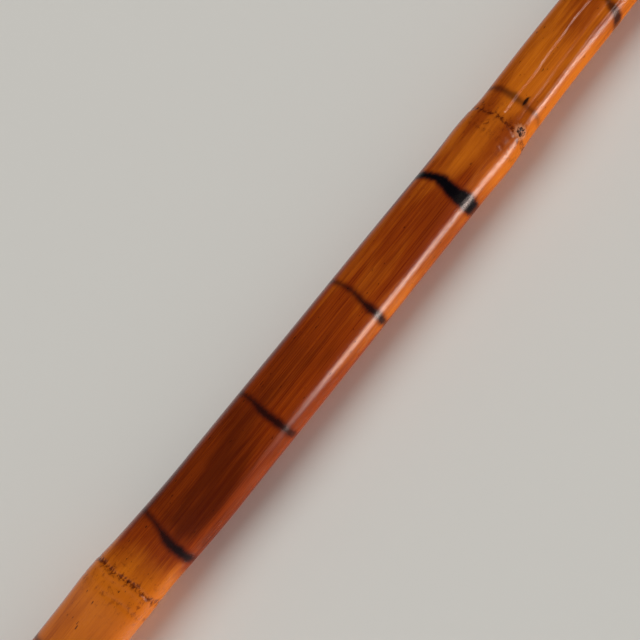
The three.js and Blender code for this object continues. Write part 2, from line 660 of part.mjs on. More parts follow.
function buckleStrap() {
  const half = STRAP_THICKNESS / 2;
  const outline = new THREE.Shape();
  const start = sidePoint(half, STRAP_BEND);
  const heel = sidePoint(HEEL_OUT, HEEL_BAR);
  const foldStart = sidePoint(half, HEEL_BAR - 3);
  const inside = -half - STRAP_THICKNESS;
  outline.moveTo(STRAP_OFFSET + half, STRAP_END);
  outline.lineTo(start.x, start.y);
  outline.lineTo(foldStart.x, foldStart.y);
  outline.absarc(heel.x, heel.y, FOLD_RADIUS, -STRAP_SPREAD - 0.65, Math.PI - STRAP_SPREAD + 0.65, false);
  const back = [[inside, HEEL_BAR - 5], [inside, FOLD_END], [-half, FOLD_END - 1.5], [-half, STRAP_BEND]];
  for (const [out, along] of back) {
    const point = sidePoint(out, along);
    outline.lineTo(point.x, point.y);
  }
  outline.lineTo(STRAP_OFFSET - half, STRAP_END);
  outline.holes.push(new THREE.Path().absarc(heel.x, heel.y, BUCKLE_WIRE + GAP, 0, 2 * Math.PI));
  const prongSlot = box([14, 14, 3.4], [0, 2.8, 0]).rotateZ(-STRAP_SPREAD).translate(heel.x, heel.y, 0);
  return cut(slab(outline, STRAP_WIDTH), strapHole(STRAP_OFFSET), endCorners(STRAP_OFFSET), prongSlot);
}

function buckleFrame() {
  const heel = HEEL_BAR - STRAP_BEND;
  const front = FRONT_BAR - STRAP_BEND;
  const corners = [[HEEL_OUT, heel, -1], [FRONT_OUT, front, -1], [FRONT_OUT, front, 1], [HEEL_OUT, heel, 1]];
  const points = corners.map(([x, y, z]) => [x, y, z * BUCKLE_HALF_WIDTH]);
  const wires = points.map((point, i) => bar(point, points[(i + 1) % points.length], BUCKLE_WIRE, 8));
  const knees = points.map((point) => new THREE.SphereGeometry(BUCKLE_WIRE, 8, 6).translate(...point));
  return join(...wires, ...knees);
}

// The prong is modelled about its own pivot, pointing along Y, and leans out to the front bar.
const PRONG_REST_OUT = FRONT_OUT + BUCKLE_WIRE + PRONG_RADIUS + 0.15;
const PRONG_REACH = Math.hypot(PRONG_REST_OUT - HEEL_OUT, FRONT_BAR - HEEL_BAR) + 2;
const PRONG_LEAN = Math.atan2(PRONG_REST_OUT - HEEL_OUT, FRONT_BAR - HEEL_BAR);

function buckleProng() {
  const eye = ring(BUCKLE_WIRE + GAP, BUCKLE_WIRE + GAP + 1.5, -1.2, 1.2, SMALL_ROUND);
  const shank = bar([0, BUCKLE_WIRE + GAP + 0.6, 0], [0, PRONG_REACH, 0], PRONG_RADIUS, 10);
  return join(eye, shank);
}

function keeper() {
  const inside = STRAP_THICKNESS / 2 + GAP;
  const outside = TAIL_OUT + STRAP_THICKNESS / 2 + GAP;
  const half = STRAP_WIDTH / 2 + GAP;
  const wall = 1.5;
  const rectangle = (grow) => [
    [-inside - grow, -half - grow], [outside + grow, -half - grow],
    [outside + grow, half + grow], [-inside - grow, half + grow],
  ].map(([x, y]) => new THREE.Vector2(x, y));
  const section = new THREE.Shape(rectangle(wall));
  section.holes.push(new THREE.Path(rectangle(0)));
  return slab(section, KEEPER_LENGTH).rotateX(Math.PI / 2);
}

// Bolt pieces lie along Y: their stack, from the grip outwards, is leather, washer and head.
const WASHER_INNER = STRAP_OFFSET + STRAP_THICKNESS / 2 + GAP;
const HEAD_INNER = WASHER_INNER + 1 + 0.2;

function alongY(geometry) {
  return geometry.rotateX(-Math.PI / 2).translate(0, 0, BOLT_HEIGHT);
}

function boltHead(shank) {
  return [
    [shank, HEAD_INNER], [BOLT_HEAD_RADIUS, HEAD_INNER], [BOLT_HEAD_RADIUS, HEAD_INNER + 0.8],
    [BOLT_HEAD_RADIUS * 0.75, HEAD_INNER + 2], [2, HEAD_INNER + 2.4], [0, HEAD_INNER + 2.4],
  ];
}

function strapBolt() {
  const end = -HEAD_INNER + 0.4;
  return alongY(turned([
    [BOLT_BORE, end], [BOLT_RADIUS, end], ...boltHead(BOLT_RADIUS), [0, 8], [BOLT_BORE, 7], [BOLT_BORE, end],
  ], ROUND));
}

function strapBoltScrew() {
  const shank = BOLT_BORE - GAP;
  const screw = turned([[0, -4], [shank, -3], ...boltHead(shank)], ROUND);
  const slotted = cut(screw, box([14, 1.1, 2], [0, 0, HEAD_INNER + 2.4]));
  return alongY(slotted.rotateX(Math.PI));
}

function strapWasher(sign) {
  const washer = ring(BOLT_RADIUS + GAP, 5.6, WASHER_INNER, WASHER_INNER + 1);
  return alongY(sign > 0 ? washer : washer.rotateX(Math.PI));
}

// ---------------------------------------------------------------- the pole

place('shaft', cane(), 'bamboo');
place('spike', spike(), 'steel');
place('ferrule', ferrule(), 'steel');
place('ferrule_pin', ferrulePin(), 'steel');
place('lower_plug', lowerPlug(), 'beech');
place('basket_washer', basketWasher(), 'steel');
place('basket_pin', basketPin(), 'steel');

const basket = new THREE.Group();
basket.position.z = HUB_MIDDLE;
pole.add(basket);
place('hub_plate', hubPlate(), 'steel', basket);
place('basket_hoop', basketHoop(), 'rattan', basket);
place('splice_band', spliceBand(), 'steel', basket);
spliceNailAngles.forEach((angle, i) => place(`splice_nail_${i + 1}`, spliceNail(angle), 'steel', basket));
for (let i = 0; i < SPOKES; i += 1) {
  const spoke = new THREE.Group();
  spoke.rotation.z = (i * 2 * Math.PI) / SPOKES;
  basket.add(spoke);
  place(`spoke_strap_${i + 1}`, spokeStrap(), 'spokeLeather', spoke);
  place(`hub_rivet_${i + 1}`, rivet(), 'steel', spoke).position.x = INNER_RIVET;
  place(`hoop_rivet_${i + 1}`, rivet(), 'steel', spoke).position.x = OUTER_RIVET;
}

place('grip_core', gripCore(), 'cork');
place('grip_leather', gripLeather(), 'leather');
place('grip_collar', gripCollar(), 'brass');
place('collar_tack_left', collarTack(-1), 'brass');
place('collar_tack_right', collarTack(1), 'brass');
place('knob', knob(), 'beech');
place('knob_washer', knobWasher(), 'brass');
place('knob_screw', knobScrew(), 'brass');

place('strap_bolt', strapBolt(), 'brass');
place('strap_bolt_screw', strapBoltScrew(), 'brass');
place('strap_washer_left', strapWasher(-1), 'brass');
place('strap_washer_right', strapWasher(1), 'brass');
place('strap_billet', strapBillet(), 'leather', loop);
place('strap_buckle_piece', buckleStrap(), 'leather', loop);
place('buckle_frame', buckleFrame(), 'brass', side);
place('strap_keeper', keeper(), 'leather', side).position.set(0, KEEPER_PLACE - STRAP_BEND, 0);
const prong = place('buckle_prong', buckleProng(), 'brass', side);
prong.position.set(HEEL_OUT, HEEL_BAR - STRAP_BEND, 0);
prong.rotation.z = -PRONG_LEAN;

export default pole;
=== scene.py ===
"""Looks for the bamboo ski pole: a lacquered, scorched cane with its grip, strap, basket and spike.

Lengths are in millimetres of the row frame until a mesh is made, then in metres.
"""

import json
import math

import bmesh
import bpy
import numpy as np
from mathutils import Matrix, Vector

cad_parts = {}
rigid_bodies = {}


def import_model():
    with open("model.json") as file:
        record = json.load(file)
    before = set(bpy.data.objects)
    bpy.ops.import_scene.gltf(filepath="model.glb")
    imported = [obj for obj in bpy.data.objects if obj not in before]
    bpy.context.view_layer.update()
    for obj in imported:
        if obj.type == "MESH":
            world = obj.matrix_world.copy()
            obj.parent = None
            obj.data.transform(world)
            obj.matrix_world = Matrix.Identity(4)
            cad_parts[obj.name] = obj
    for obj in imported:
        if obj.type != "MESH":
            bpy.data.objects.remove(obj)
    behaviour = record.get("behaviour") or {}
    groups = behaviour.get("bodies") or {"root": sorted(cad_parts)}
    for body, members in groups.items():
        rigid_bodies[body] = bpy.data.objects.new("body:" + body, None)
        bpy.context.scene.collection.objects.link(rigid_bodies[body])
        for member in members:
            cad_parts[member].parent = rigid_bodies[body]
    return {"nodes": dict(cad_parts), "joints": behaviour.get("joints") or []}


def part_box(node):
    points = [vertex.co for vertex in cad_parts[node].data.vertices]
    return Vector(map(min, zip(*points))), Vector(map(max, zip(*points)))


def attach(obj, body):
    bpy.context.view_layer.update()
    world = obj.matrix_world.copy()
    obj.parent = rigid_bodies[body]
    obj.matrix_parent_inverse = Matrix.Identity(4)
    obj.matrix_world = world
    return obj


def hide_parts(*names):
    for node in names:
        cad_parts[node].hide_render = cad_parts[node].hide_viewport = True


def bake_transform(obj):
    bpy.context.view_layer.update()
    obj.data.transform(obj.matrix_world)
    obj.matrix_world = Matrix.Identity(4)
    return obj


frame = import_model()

MM = 0.001
TURN = 2 * math.pi
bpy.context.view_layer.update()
JOINTS = {joint["name"]: joint for joint in frame["joints"]}
random = np.random.default_rng(7)


def extent(node):
    """A CAD node's lowest and highest corners, in millimetres."""
    return [np.array(corner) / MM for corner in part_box(node)]


def heights_of(node):
    low, high = extent(node)
    return low[2], high[2]


def middle_of(node):
    low, high = extent(node)
    return (low + high) / 2


def joint_place(name):
    return np.array(JOINTS[name]["pos_m"]) / MM


# ------------------------------------------------------------------ numbers and outlines


def smoothstep(value, low, high):
    t = np.clip((value - low) / (high - low), 0, 1)
    return t * t * (3 - 2 * t)


def plateau(value, start, full, fall, end):
    """Nothing up to the start, one from full to fall, and nothing again from the end."""
    return smoothstep(value, start, full) * (1 - smoothstep(value, fall, end))


def bell(value, middle, spread):
    return np.exp(-(((value - middle) / spread) ** 2))


def unit(vectors):
    """A vector, or each row of vectors, made one long."""
    vectors = np.asarray(vectors, float)
    return vectors / np.linalg.norm(vectors, axis=-1, keepdims=True)


def wrapped(angle):
    """An angle brought between minus and plus half a turn."""
    return (angle + math.pi) % TURN - math.pi


def around(turn, radius, height=0.0):
    return np.array([radius * math.cos(turn), radius * math.sin(turn), height])


def rounded(corners, steps=5):
    """An open outline of (x, y) or (x, y, radius) corners, with the given corners rounded."""
    points = []
    for i, corner in enumerate(corners):
        here = np.array(corner[:2], float)
        radius = corner[2] if len(corner) > 2 else 0
        if not radius or i in (0, len(corners) - 1):
            points.append(here)
            continue
        before = unit(np.array(corners[i - 1][:2]) - here)
        after = unit(np.array(corners[i + 1][:2]) - here)
        half = math.acos(np.clip(before @ after, -1, 1)) / 2
        reach = radius / math.tan(half)
        centre = here + unit(before + after) * radius / math.sin(half)
        start = here + before * reach - centre
        end = here + after * reach - centre
        sweep = math.pi - 2 * half
        for t in np.linspace(0, 1, steps + 1):
            spoke = math.sin((1 - t) * sweep) * start + math.sin(t * sweep) * end
            points.append(centre + spoke / math.sin(sweep))
    return np.array(points)


def closed_rounded(corners, steps=5):
    """A closed outline with rounded corners."""
    ring = [corners[-1], *corners, corners[0]]
    return rounded([ring[0][:2], *ring[1:-1], ring[-1][:2]], steps)[1:-1]


def oblong(start, end, half, radius):
    """A closed rectangle from start to end, half wide to either side, with rounded corners."""
    corners = [(end, -half), (end, half), (start, half), (start, -half)]
    return closed_rounded([(*corner, radius) for corner in corners])


def arc(middle, radius, start, end, count):
    angles = np.linspace(start, end, count)
    return np.stack([middle[0] + radius * np.cos(angles), middle[1] + radius * np.sin(angles)], 1)


def circle(radius, count, middle=(0, 0)):
    return arc(middle, radius, 0, TURN, count + 1)[:-1]


def smooth_points(points, rounds=2):
    """Chaikin's corner cutting on an open line."""
    points = np.array(points, float)
    for _ in range(rounds):
        cut = np.empty((2 * len(points) - 2, points.shape[1]))
        cut[0::2] = 0.75 * points[:-1] + 0.25 * points[1:]
        cut[1::2] = 0.25 * points[:-1] + 0.75 * points[1:]
        points = np.concatenate([points[:1], cut, points[-1:]])
    return points


class Line:
    """A plane line measured by its length."""

    def __init__(self, points):
        points = np.array(points, float)
        steps = np.linalg.norm(np.diff(points, axis=0), axis=1)
        self.points = points[np.concatenate([[True], steps > 1e-6])]
        self.places = np.concatenate([[0], np.cumsum(steps[steps > 1e-6])])
        self.length = self.places[-1]
        self.slopes = unit(np.gradient(self.points, self.places, axis=0))

    def at(self, place, lift=0.0):
        """The points at these lengths along the line, lifted off it to its left."""
        place, lift = np.asarray(place, float), np.asarray(lift, float)[..., None]
        point, slope = (
            np.stack([np.interp(place, self.places, column) for column in table.T], -1)
            for table in (self.points, self.slopes)
        )
        slope = unit(slope)
        beyond = (place - np.clip(place, 0, self.length))[..., None]
        return point + beyond * slope + lift * np.stack([-slope[..., 1], slope[..., 0]], -1)


# ------------------------------------------------------------------ meshes


def show(name, data):
    obj = bpy.data.objects.new(name, data)
    bpy.context.scene.collection.objects.link(obj)
    return obj


def dress(obj, finish, sharp=35):
    """Gives obj a finish and smooth shading up to the sharp angle."""
    obj.data.materials.clear()
    obj.data.materials.append(FINISH[finish])
    obj.data.shade_smooth()
    obj.data.set_sharp_from_angle(angle=math.radians(sharp))
    return obj


def open_mesh(mesh, merge):
    """The mesh opened for edits, with points merged that lie no further apart than given."""
    edit = bmesh.new()
    edit.from_mesh(mesh)
    bmesh.ops.remove_doubles(edit, verts=edit.verts, dist=merge)
    return edit


def close_mesh(edit, mesh):
    """Ends the edits of a mesh, with its faces outward."""
    bmesh.ops.recalc_face_normals(edit, faces=edit.faces)
    edit.to_mesh(mesh)
    edit.free()


def piece(name, points, faces, finish, sharp=35):
    """A closed mesh from points in millimetres, with its faces outward."""
    mesh = bpy.data.meshes.new(name)
    mesh.from_pydata((np.asarray(points) * MM).tolist(), [], [list(map(int, face)) for face in faces])
    close_mesh(open_mesh(mesh, 1e-7), mesh)
    return dress(show(name, mesh), finish, sharp)


def stands_for(obj, body, node):
    """obj rides on the body and takes the place of the CAD node."""
    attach(obj, body)
    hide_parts(node)
    return obj


def final_mesh(obj):
    """A new mesh of obj as its modifiers or its curve make it."""
    bpy.context.view_layer.update()
    return bpy.data.meshes.new_from_object(obj.evaluated_get(bpy.context.evaluated_depsgraph_get()))


def vertex_points(obj):
    """The vertices of obj, in millimetres."""
    return np.array([vertex.co[:] for vertex in obj.data.vertices]) / MM


def store(obj, **kept):
    """Keeps values on the vertices of obj, for the materials."""
    for name, values in kept.items():
        attribute = obj.data.attributes.new(name, "FLOAT", "POINT")
        attribute.data.foreach_set("value", np.asarray(values, np.float32))


def loft(rings, closed=False):
    """Points and faces of a skin over rings of equal size; open ends get a cap."""
    rings = np.asarray(rings)
    rows, columns = rings.shape[:2]
    faces = []
    for i in range(rows if closed else rows - 1):
        here, above = i * columns, (i + 1) % rows * columns
        for j in range(columns):
            k = (j + 1) % columns
            faces.append((here + j, here + k, above + k, above + j))
    if not closed:
        faces += [tuple(range(columns)), tuple((rows - 1) * columns + j for j in range(columns))]
    return rings.reshape(-1, 3), faces


def turned_rings(profile, facets):
    angles = np.arange(facets) * TURN / facets
    radii, heights = np.array(profile, float).T
    level = np.repeat(heights[:, None], facets, 1)
    return np.stack([np.outer(radii, np.cos(angles)), np.outer(radii, np.sin(angles)), level], -1)


def rod_grid(heights, facets):
    """The angle and the height of each point on a rod's skin."""
    return np.meshgrid(np.arange(facets) * TURN / facets, heights)


def bored_rod(outer, angle, height, bore, offset=(0, 0)):
    """Points and faces of a rod with a plain bore, from its radius over a rod grid."""
    x, y = offset
    outside = np.stack([outer * np.cos(angle) + x, outer * np.sin(angle) + y, height], -1)
    inside = turned_rings([(bore, height[-1, 0]), (bore, height[0, 0])], len(angle[0]))
    return loft(np.concatenate([outside, inside]), closed=True)


def carried(points, turn):
    """The points, carried by a matrix."""
    turn = np.array(turn)
    return points @ turn[:3, :3].T + turn[:3, 3]


def turned(node, name, body, finish, corners, facets=72, closed=False, turn=Matrix()):
    """A piece from the lathe for a CAD node, from (radius, height, rounding) corners up the Z axis.

    The turn, a matrix, takes it to another axis.
    """
    profile = closed_rounded(corners) if closed else rounded(corners)
    points, faces = loft(turned_rings(profile, facets), closed)
    return stands_for(piece(name, carried(points, turn), faces, finish), body, node)


def placed(axis, origin=(0, 0, 0)):
    """A matrix, in millimetres, that takes Z to the axis and the origin to a point."""
    turn = Vector(axis).to_track_quat("Z", "Y").to_matrix().to_4x4()
    turn.translation = Vector(origin)
    return turn


def swept(name, path, section, side, finish, closed=False, sizes=None):
    """A section carried along a plane path; side is the direction square to that plane."""
    side = unit(side)
    slopes = np.roll(path, -1, 0) - np.roll(path, 1, 0) if closed else np.gradient(path, axis=0)
    across = np.cross(side, unit(slopes))
    sizes = np.ones(len(path)) if sizes is None else sizes
    rings = [
        point + size * (section[:, :1] * side + section[:, 1:] * out)
        for point, out, size in zip(path, across, sizes)
    ]
    return piece(name, *loft(rings, closed), finish, 50)


def carve(obj, finish, size, place, turn=Matrix()):
    """Cuts a box out of obj."""
    signs = np.array([(x, y, z) for z in (-1, 1) for y in (-1, 1) for x in (-1, 1)]) / 2
    faces = [(0, 2, 3, 1), (4, 5, 7, 6), (0, 1, 5, 4), (2, 6, 7, 3), (0, 4, 6, 2), (1, 3, 7, 5)]
    cutter = piece("cutter", carried(signs * size, turn) + place, faces, finish)
    modifier = obj.modifiers.new("carve", "BOOLEAN")
    modifier.object = cutter
    modifier.operation = "DIFFERENCE"
    modifier.solver = "EXACT"
    mesh = final_mesh(obj)
    obj.modifiers.clear()
    obj.data = mesh
    bpy.data.objects.remove(cutter)
    dress(obj, finish)


def sheet(name, outlines, thickness, finish, bend, steps=(2.0, 0), edge=0.3):
    """Leather or plate cut from flat outlines of (along, across) points, with soft edges, then bent.

    bend takes arrays of along, across and out and gives the bent points. The steps are the spacing
    of the cuts that let it bend, along and across; a zero leaves that way uncut.
    """
    curve = bpy.data.curves.new(name, "CURVE")
    curve.dimensions = "2D"
    curve.fill_mode = "BOTH"
    curve.extrude = thickness / 2 - edge
    curve.bevel_depth = edge
    curve.bevel_resolution = 2
    curve.offset = -edge
    for outline in outlines:
        spline = curve.splines.new("POLY")
        spline.points.add(len(outline) - 1)
        for point, place in zip(spline.points, outline):
            point.co = (place[0], place[1], 0, 1)
        spline.use_cyclic_u = True
    flat = show(name, curve)
    mesh = final_mesh(flat)
    bpy.data.objects.remove(flat)
    bpy.data.curves.remove(curve)
    edit = open_mesh(mesh, 1e-4)
    for axis, step in enumerate(steps):
        low = min(vertex.co[axis] for vertex in edit.verts)
        high = max(vertex.co[axis] for vertex in edit.verts)
        for place in np.arange(low + step, high, step) if step else ():
            plane = Vector((axis == 0, axis == 1, 0))
            bmesh.ops.bisect_plane(
                edit, geom=edit.verts[:] + edit.edges[:] + edit.faces[:],
                plane_co=plane * place, plane_no=plane, dist=1e-4,
            )
    flat_points = np.array([vertex.co[:] for vertex in edit.verts])
    for vertex, place in zip(edit.verts, bend(*flat_points.T) * MM):
        vertex.co = place
    close_mesh(edit, mesh)
    mesh.name = name
    obj = dress(show(name, mesh), finish, 50)
    store(obj, across=np.abs(flat_points[:, 1]))
    return obj


def stitches(name, body, radius, ends):
    """Thread in a leather. Each stitch runs between two points and dips into the leather at both."""
    points, faces = [], []
    section = circle(radius, 8)
    sunk = 0.35
    for start, end, out in ends:
        out, slope = unit(out), unit(end - start)
        side = np.cross(out, slope)
        rings = []
        for t in np.linspace(0, 1, 7):
            rise = math.sin(math.pi * t)
            centre = start + (end - start) * t + out * radius * ((1 - sunk) * rise**0.5 - sunk)
            rings.append(centre + (0.55 + 0.45 * rise) * (section[:, :1] * side + section[:, 1:] * out))
        made, skin = loft(rings)
        faces += [tuple(index + len(points) for index in face) for face in skin]
        points += list(made)
    thread = piece(name, points, faces, "thread", 60)
    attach(thread, body)


# ------------------------------------------------------------------ finishes


class Value:
    """A number that nodes work out; arithmetic on it adds more nodes."""

    def __init__(self, nodes, socket):
        self.nodes, self.socket = nodes, socket

    def __add__(self, other):
        return self.nodes.math("ADD", self, other)

    def __sub__(self, other):
        return self.nodes.math("SUBTRACT", self, other)

    def __mul__(self, other):
        return self.nodes.math("MULTIPLY", self, other)

    def __abs__(self):
        return self.nodes.math("ABSOLUTE", self)


class Nodes:
    """The shader nodes of a material or world. Kinds are node types without ShaderNode."""

    def __init__(self, tree):
        self.tree = tree

    def put(self, socket, value):
        if isinstance(value, Value):
            self.tree.links.new(value.socket, socket)
        elif isinstance(value, tuple) and len(value) == 3 and len(socket.default_value) == 4:
            socket.default_value = (*value, 1)
        else:
            socket.default_value = value

    def node(self, kind, values=None, out=0, **settings):
        node = self.tree.nodes.new("ShaderNode" + kind)
        for key, value in settings.items():
            setattr(node, key, value)
        for key, value in (values or {}).items():
            self.put(node.inputs[key], value)
        return Value(self, node.outputs[out])

    def math(self, operation, *values):
        return self.node("Math", dict(enumerate(values)), operation=operation)

    def ramp(self, value, low, high, start=0.0, end=1.0, kind="LINEAR"):
        """Start at the low value and end at the high one."""
        values = dict(enumerate((value, low, high, start, end)))
        return self.node("MapRange", values, interpolation_type=kind)

    def step(self, value, low, high, start=0.0, end=1.0):
        return self.ramp(value, low, high, start, end, "SMOOTHSTEP")

    def bell(self, value, middle, spread):
        """One at the middle and nothing beyond the spread."""
        return self.step(abs(value - middle), 0.0, spread, 1.0, 0.0)


class Paint(Nodes):
    """One material. Patterns are laid out in millimetres of the row frame."""

    def __init__(self, name):
        self.material = bpy.data.materials.new(name)
        self.material.use_nodes = True
        super().__init__(self.material.node_tree)
        self.shader = self.tree.nodes["Principled BSDF"]

    def stretched(self, where, factors):
        return self.node("VectorMath", {0: where, 1: factors}, operation="MULTIPLY")

    def place(self, per_mm):
        """The place on the object in millimetres, stretched by a factor on each axis."""
        where = self.node("TexCoord", out="Object")
        return self.stretched(where, tuple(factor / MM for factor in per_mm))

    def kept(self, name):
        """A value kept on the mesh's vertices."""
        return self.node("Attribute", out="Fac", attribute_name=name)

    def noise(self, where, detail=3.0, roughness=0.55, distortion=0.0):
        where = self.place(where) if isinstance(where, tuple) else where
        return self.node("TexNoise", {
            "Vector": where, "Scale": 1.0, "Detail": detail,
            "Roughness": roughness, "Distortion": distortion,
        })

    def mix(self, factor, first, second):
        return self.node("Mix", {0: factor, 6: first, 7: second}, out=2, data_type="RGBA")

    def bump(self, height, depth, strength=1.0, under=None):
        """A bump whose full height is the depth, in millimetres."""
        values = {"Height": height, "Distance": depth * MM, "Strength": strength}
        if under is not None:
            values["Normal"] = under
        return self.node("Bump", values)

    def set(self, **values):
        for key, value in values.items():
            self.put(self.shader.inputs[key.replace("_", " ")], value)
        return self.material


def scaled(colour, factor):
    return tuple(factor * channel for channel in colour)


def bamboo():
    paint = Paint("bamboo_lacquer")
    mix, step, noise, kept = paint.mix, paint.step, paint.noise, paint.kept
    fibre = noise((2.3, 2.3, 0.016), detail=4, roughness=0.6)
    hair = noise((6.5, 6.5, 0.06), roughness=0.6)
    cloud = noise((0.2, 0.2, 0.03))
    patch = noise((0.35, 0.35, 0.2)) - 0.5
    node = kept("node_offset")
    contrast = step(paint.bell(node, -4.0, 20.0), 0.0, 1.0, 1.0, 0.35)
    streak = (fibre * 0.6 + hair * 0.4 - 0.5) * contrast

    # Lacquer over the cane: red-brown in the dark fibres, amber in the light ones.
    # The kept tone makes the lacquer dark where it is low and golden where it is high. Besides the
    # lacquer's own tone it carries painted sunlight from 816 mm up and painted window light down one
    # side.
    tone = kept("tone") + step(cloud, 0.3, 0.7, -0.35, 0.35)
    colour = mix(step(streak, -0.18, 0.18), (0.120, 0.0105, 0.0002), (0.265, 0.040, 0.0008))
    colour = mix(step(tone, 0.0, -1.0, 0.0, 0.75), colour, (0.045, 0.0035, 0.0002))
    golden = mix(step(streak, -0.2, 0.2), (0.37, 0.076, 0.0016), (0.50, 0.130, 0.0036))
    colour = mix(step(tone, 0.0, 1.0), colour, golden)

    # The heat of straightening mottled the nodes.
    speckle = noise((0.8, 0.8, 0.6), detail=4, roughness=0.7)
    mottle = paint.bell(node, -1.0, 14.0) * step(speckle, 0.52, 0.72, 0.0, 0.75)
    colour = mix(mottle, colour, (0.09, 0.010, 0.0004))
    pitted = kept("scar") * step(speckle, 0.40, 0.60, 0.3, 1.1)
    colour = mix(step(pitted, 0.15, 1.0, 0.0, 0.85), colour, (0.07, 0.008, 0.0004))

    # Scorched rings: black where the flame was, brown at the rim, with ends that follow the fibres.
    inside = kept("ring_width") - abs(kept("ring_offset")) + streak * 2.6 + patch * 1.2
    force = kept("ring_force")
    colour = mix(step(inside, -1.7, 0.4, 0.0, 0.8) * force, colour, (0.075, 0.006, 0.0004))
    colour = mix(step(inside, -0.9, 0.8) * force, colour, (0.0020, 0.0014, 0.0026))

    # Flecks, and the marks that were burnt or worn in single places.
    fleck = step(noise((1.3, 1.3, 0.5), detail=1, roughness=0.4), 0.72, 0.80, 0.0, 0.8)
    colour = mix(fleck, colour, (0.03, 0.004, 0.0004))
    mark = kept("mark") * (streak * 2.5 + 1.0)
    colour = mix(step(mark, 0.35, 0.8, 0.0, 0.95), colour, (0.010, 0.002, 0.001))

    # Each bud is a lipped oval with a dark, torn middle. The lip's pale pink is partly its own colour
    # and partly a painted highlight.
    away = kept("bud_away") + (speckle - 0.5) * 3.0
    colour = mix(step(away, 2.5, 1.5, 0.0, 0.7), colour, (0.50, 0.20, 0.085))
    torn = mix(step(speckle, 0.46, 0.58), (0.014, 0.002, 0.001), (0.40, 0.15, 0.07))
    colour = mix(step(away, 1.5, 1.0), colour, torn)

    lip = paint.bell(away, 1.5, 0.7) - step(away, 1.2, 0.5, 0.0, 0.8)
    skin = paint.bump(noise((1.6, 1.6, 0.35)), 0.034, 0.9)
    skin = paint.bump(noise((5.0, 5.0, 2.0)), 0.024, 1.0, skin)
    skin = paint.bump(lip, 0.35, 1.0, skin)
    return paint.set(
        Base_Color=colour, Roughness=0.5, Normal=paint.bump(streak, 0.05, 0.6), Specular_IOR_Level=0.0,
        Coat_Weight=1.0, Coat_Roughness=0.2, Coat_IOR=1.5, Coat_Normal=skin,
    )


def steel(name, tone, rust):
    paint = Paint(name)
    wear = paint.noise((0.5, 0.5, 0.25), detail=5, roughness=0.65)
    scratch = paint.noise((2.5, 2.5, 0.6))
    colour = paint.mix(wear, scaled((0.55, 0.53, 0.5), tone), scaled((1.2, 1.18, 1.14), tone))
    spots = paint.step(paint.noise((0.8, 0.8, 0.8), detail=6, roughness=0.75), 0.56, 0.68, 0.0, rust)
    colour = paint.mix(spots, colour, (0.09, 0.035, 0.014))
    return paint.set(
        Base_Color=colour, Metallic=paint.step(spots, 0.0, 0.5, 0.9, 0.45),
        Roughness=paint.math("MAXIMUM", paint.step(wear, 0.3, 0.7, 0.38, 0.56), spots * 1.8),
        Normal=paint.bump(scratch, 0.02, 0.6),
    )


def brass():
    paint = Paint("aged_brass")
    wear = paint.noise((0.35, 0.35, 0.35), detail=5, roughness=0.65)
    colour = paint.mix(paint.step(wear, 0.35, 0.65), (0.30, 0.17, 0.055), (0.66, 0.46, 0.17))
    return paint.set(
        Base_Color=colour, Metallic=1.0, Roughness=paint.step(wear, 0.3, 0.7, 0.42, 0.24),
        Normal=paint.bump(paint.noise((3.0, 3.0, 3.0)), 0.012, 0.6),
    )


def leather(name, dark, light, rough, grain, half=None):
    """Leather with pores and creases. A strap, whose half width is given, has dark edges and a line
    creased inside them."""
    paint = Paint(name)
    tone = paint.noise((0.12, 0.12, 0.08), detail=4, roughness=0.6)
    pores = {"Vector": paint.place((grain, grain, grain)), "Scale": 1.0}
    cell = paint.node("TexVoronoi", pores, feature="F1")
    crease = paint.noise((0.7, 0.7, 0.7), detail=5, roughness=0.7)
    colour = paint.mix(paint.step(tone, 0.3, 0.7), dark, light)
    colour = paint.mix(paint.step(crease, 0.56, 0.74, 0.0, 0.45), colour, (0.30, 0.15, 0.06))
    normal = paint.bump(cell * 0.5 + crease * 0.8, 0.16, 0.55)
    if half:
        across = paint.kept("across")
        colour = paint.mix(paint.step(across, half - 0.5, half, 0.0, 0.8), colour, scaled(dark, 0.35))
        line = paint.bell(across, half - 1.9, 0.55)
        colour = paint.mix(line * 0.6, colour, scaled(dark, 0.5))
        normal = paint.bump(line * -1.0, 0.25, 0.9, normal)
    return paint.set(
        Base_Color=colour, Roughness=paint.step(tone, 0.3, 0.7, rough - 0.08, rough + 0.1),
        Normal=normal, Specular_IOR_Level=0.45, Coat_Weight=0.15, Coat_Roughness=0.3,
    )


def wood(name, dark, light, coat):
    """A close-grained wood whose grain runs up the pole."""
    paint = Paint(name)
    along = (0.9, 0.9, 0.03)
    grain = paint.noise(along, detail=5, roughness=0.6, distortion=0.4)
    pore = paint.noise(scaled(along, 4))
    ray = paint.step(paint.noise(scaled(along, 2.4), detail=1), 0.6, 0.68, 0.0, 0.5)
    colour = paint.mix(paint.step(grain, 0.36, 0.64), dark, light)
    colour = paint.mix(paint.step(pore, 0.58, 0.7, 0.0, 0.4), colour, scaled(dark, 0.4))
    colour = paint.mix(ray, colour, scaled(dark, 0.6))
    return paint.set(
        Base_Color=colour, Roughness=0.4, Normal=paint.bump(grain, 0.06, 0.5),
        Coat_Weight=coat, Coat_Roughness=0.16,
    )


